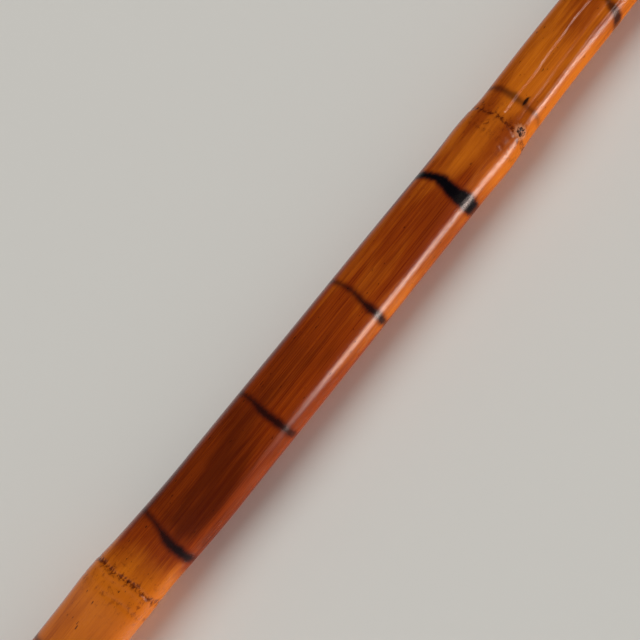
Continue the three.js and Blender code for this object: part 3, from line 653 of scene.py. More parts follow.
def rattan():
    """Grain that runs around the hoop, from how far along and around the rod each point is."""
    paint = Paint("varnished_rattan")
    ways = [paint.kept(name) for name in ("rod_x", "rod_y", "rod_along")]
    where = paint.node("CombineXYZ", dict(enumerate(ways)))
    grain = paint.noise(paint.stretched(where, (1.8, 1.8, 0.03)), detail=4)
    tone = paint.noise(paint.stretched(where, (0.1, 0.1, 0.02)))
    pore = paint.noise(paint.stretched(where, (4.5, 4.5, 0.25)), detail=2)
    colour = paint.mix(paint.step(grain, 0.35, 0.65), (0.26, 0.11, 0.030), (0.52, 0.28, 0.10))
    colour = paint.mix(paint.step(tone, 0.4, 0.7, 0.0, 0.5), colour, (0.20, 0.075, 0.02))
    colour = paint.mix(paint.step(pore, 0.6, 0.7, 0.0, 0.7), colour, (0.06, 0.022, 0.008))
    colour = paint.mix(paint.kept("rod_node") * 0.75, colour, (0.10, 0.04, 0.012))
    return paint.set(
        Base_Color=colour, Roughness=0.45, Normal=paint.bump(grain, 0.10, 0.6),
        Coat_Weight=0.6, Coat_Roughness=0.2,
    )


def cork():
    paint = Paint("cork")
    grain = paint.noise((0.5, 0.5, 0.5), detail=5, roughness=0.7)
    pit = paint.step(paint.noise((0.7, 0.7, 0.7), detail=2), 0.62, 0.7)
    colour = paint.mix(grain, (0.30, 0.15, 0.06), (0.60, 0.37, 0.19))
    colour = paint.mix(pit, colour, (0.10, 0.045, 0.02))
    return paint.set(Base_Color=colour, Roughness=0.85, Normal=paint.bump(pit, -0.4, 0.8))


def thread():
    paint = Paint("waxed_thread")
    ply = paint.noise((2.5, 2.5, 2.5), detail=2)
    colour = paint.mix(ply, (0.42, 0.30, 0.16), (0.70, 0.56, 0.36))
    return paint.set(Base_Color=colour, Roughness=0.65, Normal=paint.bump(ply, 0.08, 0.7))


STRAP_HALF, SPOKE_HALF = 8.0, 7.0
STRAP_BROWNS = (0.085, 0.030, 0.010), (0.17, 0.066, 0.024)
SPOKE_BROWNS = (0.10, 0.042, 0.016), (0.20, 0.088, 0.036)
FINISH = {
    "bamboo": bamboo(),
    "tip_steel": steel("tip_steel", 0.50, 0.45),
    "basket_steel": steel("basket_steel", 0.44, 0.6),
    "brass": brass(),
    "grip_leather": leather("grip_leather", (0.050, 0.018, 0.007), (0.125, 0.048, 0.018), 0.42, 1.6),
    "strap_leather": leather("strap_leather", *STRAP_BROWNS, 0.48, 2.4, STRAP_HALF),
    "spoke_leather": leather("spoke_leather", *SPOKE_BROWNS, 0.58, 2.2, SPOKE_HALF),
    "beech": wood("stained_beech", (0.14, 0.040, 0.010), (0.30, 0.105, 0.028), 0.8),
    "dowel": wood("raw_beech", (0.36, 0.21, 0.10), (0.58, 0.39, 0.21), 0.0),
    "rattan": rattan(),
    "cork": cork(),
    "thread": thread(),
}


# ------------------------------------------------------------------ cane

NODES = range(-3, 4)
NODE_ZERO, NODE_PITCH, PITCH_GROWTH = 658.5, 165.5, 2
MAIN_RADIUS, MAIN_GROWTH = 10.1, 0.2  # of the internode above node zero, and of each one further up
LOWER_RADIUS, LOWER_GROWTH = 9.5, 0.53
CANE_BOTTOM, CANE_TOP = heights_of("shaft")
CANE_BORE = 4.2
SEAT_END, SEAT_SHOULDER = 106.0, 112.0  # of the taper that the ferrule sits on
SEAT_RADII = 6.0, 7.6
NODE_STEPS = [(0.5, -0.4), (-0.9, 0.5), (0.8, -0.6), (-0.5, 0), (1.3, 0.2), (-0.9, -0.5), (0, 0)]
BUD_ANGLE, BUD_BEYOND = math.radians(237), 1.7
GROOVE_ANGLE, GROOVE_HALF, GROOVE_DEPTH = math.radians(261), math.radians(24), 0.75
RING_PITCH = 41.6
FAR = 99.0  # further than any mark reaches
# The lacquer's tone along the cane, from dark to golden, where the photograph shows it. The golden from
# 816 mm up is painted sunlight; the tone is darkest from 785 to 804 mm.
SEEN_TONES_AND_SUNLIGHT = [
    (615, 0.5), (640, 0.7), (658, 0.6), (672, 0.5), (690, 0.1), (730, 0.0), (760, -0.25),
    (785, -0.8), (804, -0.9), (816, 0.2), (826, 1.0), (850, 0.8),
]
# Height, half width, slant, wave, force and phase of each ring that the photograph shows.
SEEN_RINGS = [
    (649.5, 0.6, 0.0, 0.2, 0.5, 2.4),
    (683.6, 1.65, -0.9, 0.6, 1.6, 0.6),
    (725.0, 0.7, 0.0, 0.35, 0.9, 0.4),
    (766.0, 0.7, 0.0, 0.3, 0.85, 1.2),
    (808.2, 0.8, 1.3, 0.4, 0.95, 0.6),
]


def node_height(k):
    return NODE_ZERO + NODE_PITCH * k + PITCH_GROWTH * k * (k - 1)


def internode_radius(k):
    return MAIN_RADIUS + MAIN_GROWTH * k if k >= 0 else LOWER_RADIUS + LOWER_GROWTH * (k + 1)


def scar_wave(angle, k):
    """How far a node's lines wander along the cane."""
    return 0.5 * np.sin(2 * angle + 1.7 * k) + 0.25 * np.sin(5 * angle + k)


def bud_place(angle, beyond, k):
    """Millimetres around and along the cane from the bud of a node."""
    return wrapped(angle - BUD_ANGLE - math.pi * k) * internode_radius(k), beyond - BUD_BEYOND


def groove_shape(angle, beyond, k):
    """The branch groove below a bud: a flat between a steep left wall and a gentle right one."""
    length = node_height(k) - node_height(k - 1) if k > NODES[0] else 75
    drift = 0.04 * np.sin(beyond / 9 + k) + 0.018 * np.sin(beyond / 2.3)
    side = wrapped(angle - GROOVE_ANGLE - math.pi * k + drift) / GROOVE_HALF
    return plateau(beyond, 0.5, 5, 0.3 * length, 0.95 * length) * plateau(side, -1.0, -0.4, 0.76, 1.0)


def cane_radius(angle, height):
    """The cane's radius: swellings, sheath scars, buds and branch grooves."""
    thin = internode_radius(NODES[0] - 1)
    radius = np.full(np.shape(height), thin, float)
    for k in NODES:
        beyond = node_height(k) - height  # towards the thin end, which is how the cane grew
        radius += smoothstep(-beyond, -8, 6) * (internode_radius(k) - internode_radius(k - 1))
        if k == NODES[-1]:
            continue
        scar = beyond + scar_wave(angle, k)
        radius += 0.3 * bell(beyond, -6, 7)
        radius += 0.09 * bell(scar, -0.9, 0.8) - 0.14 * bell(scar, 0.2, 0.45)
        radius -= (0.05 + 0.03 * np.sin(3 * angle + k)) * bell(scar, -5.6, 0.5)
        radius -= GROOVE_DEPTH * groove_shape(angle, beyond, k)
        around_bud, along_bud = bud_place(angle, beyond, k)
        away = np.hypot(around_bud / 1.25, along_bud)
        radius += 0.25 * bell(away, 1.5, 0.7) - 0.25 * bell(away, 0, 0.9)
        radius += 0.5 * bell(np.hypot(around_bud, along_bud / 1.6), 0, 3.2)
    swell = 0.06 * np.sin(height / 37 + 2 * np.sin(angle)) + 0.035 * np.sin(height / 11 + 3 * angle)
    radius += swell * smoothstep(height, 120, 150)
    seat = np.interp(height, [CANE_BOTTOM, SEAT_END, SEAT_SHOULDER], [*SEAT_RADII, thin])
    return np.where(height < SEAT_SHOULDER, seat, radius)


def cane_offset(height):
    """How far the cane's middle lies off the Z axis, as in the CAD shaft."""
    x, y = np.zeros(np.shape(height)), np.zeros(np.shape(height))
    for k, (step_x, step_y) in zip(NODES, NODE_STEPS):
        above = height - node_height(k)
        left = np.clip(1 - above / (node_height(k + 1) - node_height(k)), 0, 1)
        fade = smoothstep(above, -34, 10) * left
        x += step_x * fade
        y += step_y * fade
    return x, y


def random_ring():
    """Half width, slant, wave, force and phase of a scorched ring."""
    return (
        random.uniform(0.6, 1.3), random.uniform(-1.4, 1.4), random.uniform(0.2, 0.8),
        random.uniform(0.8, 1.0), random.uniform(0, TURN),
    )


def scorch_rings():
    """The seen rings, and chance ones at about their pitch along the rest of the cane."""
    rings = list(SEEN_RINGS)
    below, above = rings[0][0], rings[-1][0]
    while below > CANE_BOTTOM + 2.5 * RING_PITCH:
        below -= RING_PITCH + random.uniform(-2, 2)
        rings.append((below, *random_ring()))
    while above < CANE_TOP - 4 * RING_PITCH:
        above += RING_PITCH + random.uniform(-2, 2)
        rings.append((above, *random_ring()))
    return rings


def cane_tone_and_sunlight(height):
    """The seen tones, painted sunlight among them, and chance ones every so often along the rest of the
    cane.
    """
    low, high = SEEN_TONES_AND_SUNLIGHT[0][0], SEEN_TONES_AND_SUNLIGHT[-1][0]
    lower, upper = (
        [(place, random.uniform(-0.7, 0.6)) for place in np.arange(start, end, 42)]
        for start, end in ((CANE_BOTTOM, low - 30), (high + 40, CANE_TOP))
    )
    return np.interp(height, *zip(*lower, *SEEN_TONES_AND_SUNLIGHT, *upper))


def cane_marks(cane):
    """Keeps on each vertex what the lacquer needs: tone with painted sunlight and painted window light,
    rings, scars and single marks.
    """
    points = vertex_points(cane)
    height = points[:, 2]
    x, y = cane_offset(height)
    angle = np.arctan2(points[:, 1] - y, points[:, 0] - x)
    facing = np.arctan2(x - points[:, 0], y - points[:, 1])  # from -Y towards -X
    width, force, scar, mark = np.zeros((4, len(height)))
    nearest, node, bud_away = np.full((3, len(height)), FAR)
    away_side = plateau(facing, 0.95, 1.4, 2.2, 2.8)
    for middle, half, slant, wave, strength, phase in scorch_rings():
        wander = wave * np.sin(3 * facing + phase) + 0.35 * wave * np.sin(7 * facing + 2 * phase)
        offset = height - middle - slant * np.sin(facing) - wander
        nearest = np.where(np.abs(offset) < np.abs(nearest), offset, nearest)
        patchy = 0.5 + 0.5 * np.sin(1.6 * facing + phase)
        burnt = np.minimum(strength * (0.6 + 0.4 * patchy), 1) * (1 - 0.6 * away_side)
        width = np.where(np.abs(offset) < 12, half * (0.6 + 0.85 * patchy**2), width)
        force = np.where(np.abs(offset) < 9, burnt, force)
    for k in NODES[:-1]:
        beyond = node_height(k) - height
        line = beyond + scar_wave(angle, k)
        node = np.where(np.abs(beyond) < np.abs(node), beyond, node)
        scar += bell(line, 0.3, 1.2) + 0.5 * bell(line, -5.4, 1.0)
        around_bud, along_bud = bud_place(angle, beyond, k)
        bud_away = np.minimum(bud_away, np.hypot(around_bud / 1.25, along_bud))
        groove = wrapped(angle - GROOVE_ANGLE - math.pi * k) * internode_radius(k - 1)
        mark += bell(np.hypot(groove / 0.8, (beyond - 10) / 2.0), 0, 1.0)
    # Painted window light: the side of the cane from about 30 to 125 degrees round from -Y towards -X is
    # made more golden.
    painted_window_side = plateau(facing, 0.55, 0.8, 1.8, 2.2)
    store(
        cane, ring_offset=np.clip(nearest, -12, 12), ring_width=width, ring_force=force,
        node_offset=np.clip(node, -60, 60), scar=scar, mark=mark, bud_away=np.minimum(bud_away, 12),
        tone=cane_tone_and_sunlight(height) + 0.4 * painted_window_side,
    )


def build_cane():
    heights = [CANE_BOTTOM, 80.0, SEAT_END, (SEAT_END + SEAT_SHOULDER) / 2, SEAT_SHOULDER]
    while heights[-1] < CANE_TOP:
        close = min(abs(heights[-1] - node_height(k) + 2) for k in NODES)
        heights.append(min(heights[-1] + (0.5 if close < 12 else 3.0), CANE_TOP))
    angle, height = rod_grid(heights, 180)
    skin = bored_rod(cane_radius(angle, height), angle, height, CANE_BORE, cane_offset(height))
    cane = piece("shaft_lacquered", *skin, "bamboo", 60)
    cane_marks(cane)
    return stands_for(cane, "pole", "shaft")


# ------------------------------------------------------------------ ferrule and spike


def build_tip():
    low, high = extent("spike")
    radius = high[0]
    bottom, top = heights_of("ferrule")
    shoulder = bottom - 0.3
    turned("spike", "spike_turned", "pole", "tip_steel", [
        (0, low[2]), (1.5, low[2], 0.3), (radius, shoulder - 3, 2.5), (radius, shoulder, 0.3),
        (4.4, shoulder), (4.4, shoulder + 21), (1.8, shoulder + 22), (1.8, high[2] - 3), (0, high[2]),
    ])

    bead = extent("ferrule")[1][0]
    mouth = 8.3
    groove = 0.25
    turned("ferrule", "ferrule_drawn", "pole", "tip_steel", [
        (4.8, bottom), (radius, bottom, 0.3), (7.3, 48, 4), (7.55, 56, 0.1),
        (7.55 - groove, 56.5, 0.1), (7.6 - groove, 57.3, 0.1), (7.65, 57.8, 0.1), (8.75, top - 8, 0.1),
        (8.8 - groove, top - 7.4, 0.1), (8.8 - groove, top - 6.6, 0.1), (8.9, top - 6, 0.3),
        (bead, top - 3.6, 0.8), (bead, top - 0.9, 0.9), (mouth + 0.6, top, 0.3), (mouth, top),
        (mouth, 107), (6.4, 49.5), (4.8, 48),
    ], closed=True)

    low, high = extent("ferrule_pin")
    turned("ferrule_pin", "ferrule_pin_peened", "pole", "tip_steel", [
        (0, low[1] - 0.2), (1.2, low[1] + 0.15, 0.5), (1.2, high[1] - 0.15, 0.5), (0, high[1] + 0.2),
    ], 24, turn=placed((0, 1, 0), (0, 0, middle_of("ferrule_pin")[2])))


# ------------------------------------------------------------------ basket

HUB = joint_place("basket_spin")
HUB_BORE = 8.7
RATTAN = 4.2
HOOP_RADIUS = (extent("basket_hoop")[1][1] - extent("basket_hoop")[0][1]) / 2 - RATTAN
HOOP_GIRTH = RATTAN + 0.8  # of what is wrapped round the hoop
SPOKE_LEATHER = 2.0
SPOKE_COUNT = 4


def build_hub():
    low, high = extent("hub_plate")
    slot = oblong(15.9, 18.6, 7.4, 0.9)
    hole_radius, hole_place = 1.6, 19.5
    outlines = [circle(high[0], 96), circle(HUB_BORE, 64)]
    for turn in np.arange(SPOKE_COUNT) * TURN / SPOKE_COUNT:
        spin = np.array([[math.cos(turn), math.sin(turn)], [-math.sin(turn), math.cos(turn)]])
        outlines.append(slot @ spin)
        outlines.append(circle(hole_radius, 20, around(turn + TURN / 8, hole_place)[:2]))

    def flat(x, y, z):
        return np.stack([x, y, z + HUB[2]], -1)

    plate = sheet("hub_plate_pressed", outlines, high[2] - low[2], "basket_steel", flat, (0, 0), 0.35)
    stands_for(plate, "basket_hub", "hub_plate")

    low, high = extent("basket_washer")
    turned("basket_washer", "basket_washer_steel", "pole", "basket_steel", [
        (HUB_BORE, low[2], 0.2), (high[0], low[2], 0.3),
        (high[0], high[2], 0.3), (HUB_BORE, high[2], 0.2),
    ], closed=True)

    low, high = extent("basket_pin")
    turned("basket_pin", "basket_pin_steel", "pole", "basket_steel", [
        (0, low[0]), (1.1, low[0], 0.2), (1.5, low[0] + 0.6, 0.3),
        (1.5, high[0] - 0.6, 0.3), (1.1, high[0], 0.2), (0, high[0]),
    ], 32, turn=placed((1, 0, 0), (0, 0, middle_of("basket_pin")[2])))


def rod_bulge(turn):
    """The rattan's own joints: a slight ring every so often around the hoop."""
    places = np.arange(0.35, TURN, TURN / 5)
    return sum(bell(wrapped(turn - place) * HOOP_RADIUS, 0, 1.6) for place in places)


def build_hoop():
    turns = np.arange(360) * TURN / 360
    path = np.stack([around(turn, HOOP_RADIUS, HUB[2]) for turn in turns])
    sizes = 1 + 0.035 * rod_bulge(turns) + 0.008 * np.sin(3 * turns) + 0.006 * np.sin(11 * turns)
    hoop = swept("basket_hoop_rattan", path, circle(RATTAN, 28), (0, 0, 1), "rattan", True, sizes)
    x, y, z = vertex_points(hoop).T
    turn = np.arctan2(y, x)
    store(
        hoop, rod_x=np.hypot(x, y) - HOOP_RADIUS, rod_y=z - HUB[2],
        rod_along=np.abs(turn) * HOOP_RADIUS, rod_node=rod_bulge(turn),
    )
    stands_for(hoop, "basket_ring", "basket_hoop")


def build_splice():
    """The steel band that is bent round the joint of the hoop, with scalloped ends, and its nails."""

    def wrap(along, across, out):
        turn = math.radians(45) + along / HOOP_RADIUS
        roll = across / HOOP_GIRTH + math.pi
        radius = HOOP_RADIUS + (HOOP_GIRTH + out) * np.cos(roll)
        height = HUB[2] + (HOOP_GIRTH + out) * np.sin(roll)
        return np.stack([radius * np.cos(turn), radius * np.sin(turn), height], -1)

    side = np.linspace(-1, 1, 24)
    seam = 0.485 * TURN * HOOP_GIRTH * side
    scallop = math.radians(14) * HOOP_RADIUS - 1.2 + 1.2 * np.cos(side * 3 * math.pi)
    outline = [*zip(scallop, -seam), *zip(-scallop, seam)]
    band = sheet("splice_band_steel", [outline], 0.7, "basket_steel", wrap, (3, 1), 0.15)
    stands_for(band, "basket_ring", "splice_band")
    for node in ("splice_nail_1", "splice_nail_2"):
        low, high = extent(node)
        turned(node, f"{node}_domed", "basket_ring", "basket_steel", [
            (0, low[2]), (0.8, low[2] + 0.3, 0.2), (0.8, high[2] - 1.0), (2.0, high[2] - 1.0, 0.15),
            (1.7, high[2] - 0.35, 0.5), (0, high[2]),
        ], 32, turn=Matrix.Translation((*middle_of(node)[:2], 0)))


def spoke_line():
    """The strap's path in the plane of radius and height: out along the top, round the hoop, back
    underneath, up through the plate's slot and over its rim."""
    half = SPOKE_LEATHER / 2
    hub = 1.6 + half
    inner, outer = 18.3 - half, 25.4 + half
    leave = HOOP_RADIUS - 13
    away = math.radians(125)
    loop = arc((HOOP_RADIUS, 0), HOOP_GIRTH + half, away, -away, 28)
    slot = arc((inner + 1.3, -hub + 1.3), 1.3, -math.pi / 2, -math.pi, 6)
    rise = arc((inner + 1.3, hub - 1.3), 1.3, math.pi, math.pi / 2, 6)
    return [
        (31.5, half), (leave, half), *loop, (leave, -half), (outer + 8, -half),
        (outer + 1.5, -hub + 0.3), (outer - 2, -hub), *slot, *rise, (outer - 2, hub),
        (outer + 1.5, hub - 0.3), (outer + 5.8, half),
    ]


def build_spokes():
    line = Line(smooth_points(spoke_line()))
    outline = oblong(0, line.length, SPOKE_HALF, 1.5)
    for i in range(SPOKE_COUNT):
        out = around(i * TURN / SPOKE_COUNT, 1.0)
        side = np.array([-out[1], out[0], 0])

        def bend(along, across, lift):
            spot = line.at(along, lift)
            sag = -0.5 * np.sin(math.pi * np.clip((spot[:, 0] - 33) / 40, 0, 1))
            height = HUB[2] + spot[:, 1] + sag
            return spot[:, :1] * out + across[:, None] * side + height[:, None] * np.array([0, 0, 1.0])

        node = f"spoke_strap_{i + 1}"
        strap = sheet(f"{node}_leather", [outline], SPOKE_LEATHER, "spoke_leather", bend, (1.5, 0), 0.35)
        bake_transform(strap)
        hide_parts(node)
        build_rivet(f"hub_rivet_{i + 1}", "basket_hub")
        build_rivet(f"hoop_rivet_{i + 1}", "basket_ring")


def build_rivet(node, body):
    """A rivet through two layers of spoke leather, domed at both ends."""
    low, high = extent(node)
    face, height = 2.12, (high[2] - low[2]) / 2
    head = [(3.4, face, 0.1), (3.4, face + 0.25, 0.3), (1.6, height - 0.1, 0.8), (0, height)]
    below = [(radius, -place, *rest) for radius, place, *rest in head[::-1]]
    turned(node, f"{node}_domed", body, "basket_steel", [*below, (1.5, -face), (1.5, face), *head], 32,
           turn=Matrix.Translation((*middle_of(node)[:2], HUB[2])))


# ------------------------------------------------------------------ grip

GRIP_SEAM = math.radians(135)
GRIP_RADIUS = 15.15


def seam_point(height, away):
    """A point on the grip leather, away from its seam."""
    return around(GRIP_SEAM + away / GRIP_RADIUS, GRIP_RADIUS - 0.05, height)


def build_grip_leather():
    bottom, top = heights_of("grip_leather")
    inner, end_radius = 13.8, 14.6
    rim = np.array([0, 0.25, 0.8, 1.6])
    heights = np.concatenate([bottom + rim, np.linspace(bottom + 2.4, top - 2.4, 110), top - rim[::-1]])
    part = (heights - bottom) / (top - bottom)
    radius = end_radius + (GRIP_RADIUS - end_radius) * np.sqrt(np.sin(math.pi * np.clip(part, 0, 1)))
    for line, depth, spread in ((0, 0.7, 0.7), (4.5, 0.22, 0.35), (6.0, 0.22, 0.35), (10.5, 0.22, 0.35)):
        radius -= depth * (bell(heights, bottom + line, spread) + bell(heights, top - line, spread))
    angle, height = rod_grid(heights, 160)
    seam = wrapped(angle - GRIP_SEAM) * GRIP_RADIUS
    outer = radius[:, None] - 0.45 * bell(seam, 0, 0.35) + 0.12 * bell(np.abs(seam), 1.6, 1.0)
    outer += 0.10 * np.sin(height / 9 + 2 * np.sin(angle)) * np.sin(2 * angle + height / 31)
    skin = bored_rod(outer, angle, height, inner)
    stands_for(piece("grip_leather_stitched", *skin, "grip_leather"), "pole", "grip_leather")
    stitches("grip_seam_thread", "pole", 0.42, [
        (seam_point(height, -1.9), seam_point(height + 2.1, 1.9), around(GRIP_SEAM, 1))
        for height in np.arange(bottom + 4, top - 5, 4.2)
    ])


def build_collar():
    low, high = extent("grip_collar")
    outer, bottom, top, bore = high[0], low[2], high[2], 11.1
    turned("grip_collar", "grip_collar_turned", "pole", "brass", [
        (bore, bottom), (bore + 1.3, bottom, 0.3), (13.2, bottom + 1.6, 0.3), (13.0, bottom + 2.0, 0.15),
        (14.6, bottom + 4.0, 0.5), (outer, bottom + 4.6, 0.3), (outer, top - 0.9, 0.6),
        (outer - 0.7, top, 0.3), (bore, top),
    ], 128, closed=True)
    for node, sign in (("collar_tack_left", -1), ("collar_tack_right", 1)):
        tip = np.abs(extent(node))[:, 0].max()
        seat = outer + 0.15
        turned(node, f"{node}_domed", "pole", "brass", [
            (0, 6.4), (0.8, 8), (0.8, seat), (1.7, seat, 0.1), (1.4, tip - 0.25, 0.5), (0, tip),
        ], 32, turn=placed((sign, 0, 0), (0, 0, middle_of(node)[2])))


def build_knob():
    low, high = extent("knob")
    height, line = 30.5, 0.35
    bottom, top, girth = high[2] - height, high[2], high[0]
    turned("knob", "knob_turned", "pole", "beech", [
        (0, low[2]), (3.8, low[2], 0.4), (3.8, bottom), (15.0, bottom, 0.5), (16.0, bottom + 2.4, 0.8),
        (16.0 - line, bottom + 2.9, 0.1), (16.3, bottom + 3.5, 0.2), (girth - 0.1, bottom + 8, 4),
        (girth - line, bottom + 9.7, 0.1), (girth, bottom + 10.3, 0.1), (girth, bottom + 14, 3),
        (girth - 0.9, bottom + 20.5, 4), (girth - 4.3, bottom + 26.2, 5), (10.3, bottom + 28.9, 3),
        (10.0, bottom + 28.7, 0.2), (9.2, bottom + 29.4, 0.4), (5.8, top - 0.12, 1.5), (5.6, top, 0.05),
        (2.3, top), (2.3, low[2] + 6), (0, low[2] + 5),
    ], 128)

    low, high = extent("knob_washer")
    turned("knob_washer", "knob_washer_cupped", "pole", "brass", [
        (2.3, low[2]), (high[0], low[2], 0.1), (high[0] - 0.2, low[2] + 0.5, 0.3), (4.6, high[2], 0.4),
        (2.3, high[2]),
    ], 96, closed=True)

    low, high = extent("knob_screw")
    seat = high[2] - 2.6
    screw = turned("knob_screw", "knob_screw_slotted", "pole", "brass", [
        (0, low[2]), (1.9, low[2] + 3), (1.9, seat), (4.4, seat, 0.15), (4.4, high[2] - 1.4, 0.5),
        (2.6, high[2] - 0.15, 2), (0, high[2]),
    ], 96)
    carve(screw, "brass", (12, 1.1, 2.4), (0, 0, high[2]))


# ------------------------------------------------------------------ wrist strap
#
# The loop hangs in one plane, x outwards from the bolt's middle and y down. On its buckled side a
# place is given out from the strap's middle line and along it from the bolt.

BOLT = joint_place("strap_swing")
BOLT_HOLE = 2.8
BUCKLED_WAY = unit(JOINTS["keeper_slide"]["axis"])
OUTWARD = np.array([0, 1.0, 0])
SPREAD = math.asin(BUCKLED_WAY[1])
DOWNWARD = unit((BUCKLED_WAY[0], 0, BUCKLED_WAY[2]))
SIDEWAYS = np.cross(OUTWARD, DOWNWARD)
STRAP_OFFSET, STRAP_BEND, STRAP_END = 17.0, 10.0, -8.8
STRAP_THICKNESS = 2.2
LOOP_RADIUS = 33.0
LOOP_CENTRE = STRAP_BEND + (LOOP_RADIUS - STRAP_OFFSET * math.cos(SPREAD)) / math.sin(SPREAD)
TAIL_START, TAIL_OUT = 54.0, 2.6
KEEPER_PLACE, FOLD_END = 70.0, 84.0
HEEL_OUT, HEEL_BAR = -1.2, 106.0
FRONT_OUT, FRONT_BAR = 3.2, 122.0
BUCKLE_WIRE, BUCKLE_HALF = 1.5, 10.8
PRONG_WIRE, PRONG_CURL = 0.95, 2.75
FOLD_RADIUS = BUCKLE_WIRE + 0.4 + STRAP_THICKNESS / 2
HUMP_OUT = HEEL_OUT + FOLD_RADIUS + STRAP_THICKNESS + 0.4


def side_point(out, along):
    """A place of the loop's plane from one on its buckled side."""
    along = along - STRAP_BEND
    x = STRAP_OFFSET + out * math.cos(SPREAD) + along * math.sin(SPREAD)
    y = STRAP_BEND - out * math.sin(SPREAD) + along * math.cos(SPREAD)
    return np.stack([x, y], -1)


def in_loop(place, sideways=0.0):
    """Points of the row frame from places in the loop's plane, moved across the leather's width."""
    place, sideways = np.asarray(place, float), np.asarray(sideways, float)[..., None]
    return BOLT + place[..., :1] * OUTWARD + place[..., 1:] * DOWNWARD + sideways * SIDEWAYS


def round_end(along, way):
    """The rounded end of a strap, from one edge to the other."""
    turns = np.linspace(-math.pi / 2, math.pi / 2, 15)
    return [(along + way * STRAP_HALF * (math.cos(t) - 1), STRAP_HALF * math.sin(t)) for t in turns]


def punched(along, length):
    """An oblong hole for the prong, rounded at both ends."""
    half = 1.7
    return oblong(along - length / 2, along + length / 2, half, half - 0.01)


def place_along(line, target):
    """How far along the line its nearest point to the target lies."""
    places = np.linspace(0, line.length, 4000)
    return places[np.argmin(np.linalg.norm(line.at(places) - target, axis=1))]


def strap_piece(name, node, line, outlines, step):
    def bend(along, across, lift):
        return in_loop(line.at(along, lift), across)

    strap = sheet(name, outlines, STRAP_THICKNESS, "strap_leather", bend, (step, 0), 0.5)
    stands_for(strap, "strap", node)


def build_billet():
    hump = [side_point(*place) for place in (
        (TAIL_OUT, TAIL_START), (TAIL_OUT, HEEL_BAR - 11), (TAIL_OUT, HEEL_BAR - 8.5),
        (HUMP_OUT - 0.4, HEEL_BAR - 4), (HUMP_OUT + 0.35, HEEL_BAR), (HUMP_OUT - 0.5, HEEL_BAR + 4),
        (2.0, (HEEL_BAR + FRONT_BAR) / 2 + 1.5), (0.4, FRONT_BAR - 3),
        (0.15, FRONT_BAR), (0, FRONT_BAR + 8),
    )]
    bottom = arc((0, LOOP_CENTRE), LOOP_RADIUS, -SPREAD, math.pi + SPREAD, 60)
    unbuckled = smooth_points([bottom[-1], (-STRAP_OFFSET, STRAP_BEND), (-STRAP_OFFSET, STRAP_END)], 3)
    line = Line([*smooth_points(hump, 3), *bottom, *unbuckled[1:]])
    prong_hole = place_along(line, side_point(0, HEEL_BAR + 7.2))
    strap_piece("strap_billet_leather", "strap_billet", line, [
        [*round_end(0, -1)[::-1], *round_end(line.length, 1)],
        circle(BOLT_HOLE, 32, (line.length + STRAP_END, 0)),
        *(punched(prong_hole + step, 8.6) for step in (-36, -18, 0, 18, 36)),
    ], 1.5)


def build_buckle_piece():
    middle = side_point(HEEL_OUT, HEEL_BAR)
    away = math.radians(38)
    fold = arc(middle, FOLD_RADIUS, -SPREAD - away, math.pi - SPREAD + away, 40)
    inner_out = -STRAP_THICKNESS - 0.03
    before = [(STRAP_OFFSET, STRAP_END), (STRAP_OFFSET, STRAP_BEND), side_point(0, 40)]
    line = Line(smooth_points([
        *smooth_points(before, 3), side_point(0, HEEL_BAR - 9), side_point(0.1, HEEL_BAR - 5), *fold,
        side_point(inner_out - 0.4, HEEL_BAR - 6), side_point(inner_out, HEEL_BAR - 9),
        side_point(inner_out, FOLD_END),
    ]))
    turn = place_along(line, middle + FOLD_RADIUS * unit(side_point(0, 1) - side_point(0, 0)))
    strap_piece("strap_buckle_leather", "strap_buckle_piece", line, [
        [*round_end(0, -1)[::-1], (line.length, -STRAP_HALF), (line.length, STRAP_HALF)],
        circle(BOLT_HOLE, 32, (-STRAP_END, 0)),
        punched(turn - 1.0, 15.0),
    ], 1.2)

    ends = []
    for out, face in ((STRAP_THICKNESS / 2, 1), (inner_out - STRAP_THICKNESS / 2, -1)):
        outward = in_loop(side_point(face, 0)) - in_loop(side_point(0, 0))
        for across in (-5.6, 5.6):
            for along in np.arange(FOLD_END + 2.2, HEEL_BAR - 9, 2.9):
                start, end = side_point(out, along), side_point(out, along + 2.2)
                ends.append((in_loop(start, across), in_loop(end, across), outward))
        for across in np.arange(-4.6, 3.5, 2.9):
            spot = side_point(out, FOLD_END + 2.0)
            ends.append((in_loop(spot, across), in_loop(spot, across + 2.2), outward))
    stitches("strap_fold_thread", "strap", 0.36, ends)


def build_buckle():
    way = Line([(HEEL_OUT, HEEL_BAR), (FRONT_OUT, FRONT_BAR)])
    length, half = way.length, BUCKLE_HALF
    heel_corner, front_corner = 3.5, 4.5
    flat = closed_rounded([
        (0, -half, heel_corner), (length, -half, front_corner),
        (length, half, front_corner), (0, half, heel_corner),
    ], 8)
    path = in_loop(side_point(*way.at(flat[:, 0]).T), flat[:, 1])
    square = np.cross(path[1] - path[0], SIDEWAYS)
    buckle = swept("buckle_frame_wire", path, circle(BUCKLE_WIRE, 24), square, "brass", closed=True)
    stands_for(buckle, "strap", "buckle_frame")


def build_prong():
    """A wire curled round the heel bar that lies on the front bar."""
    heel = np.array([HEEL_OUT, HEEL_BAR])
    rest = np.array([FRONT_OUT + BUCKLE_WIRE + 1.1, FRONT_BAR])
    forward = unit(rest - heel)
    right = np.array([forward[1], -forward[0]])
    reach = np.linalg.norm(rest - heel) + 2.0
    turns = np.radians(np.linspace(-62, 236, 44))
    curl = PRONG_CURL * np.stack([np.sin(turns), np.cos(turns)], 1)
    shank = [(0.25, 4.6), (0, 7), (0, reach - 4), (0.1, reach - 1.5), (0, reach)]
    plan = smooth_points([*curl, *shank])
    path = in_loop(side_point(*(heel + plan[:, 1:] * forward + plan[:, :1] * right).T))
    along = Line(plan)
    sizes = 1 - 0.35 * smoothstep(along.places, along.length - 14, along.length)
    sizes[-3:] *= (0.92, 0.75, 0.4)
    prong = swept("buckle_prong_wire", path, circle(PRONG_WIRE, 20), SIDEWAYS, "brass", sizes=sizes)
    stands_for(prong, "prong", "buckle_prong")


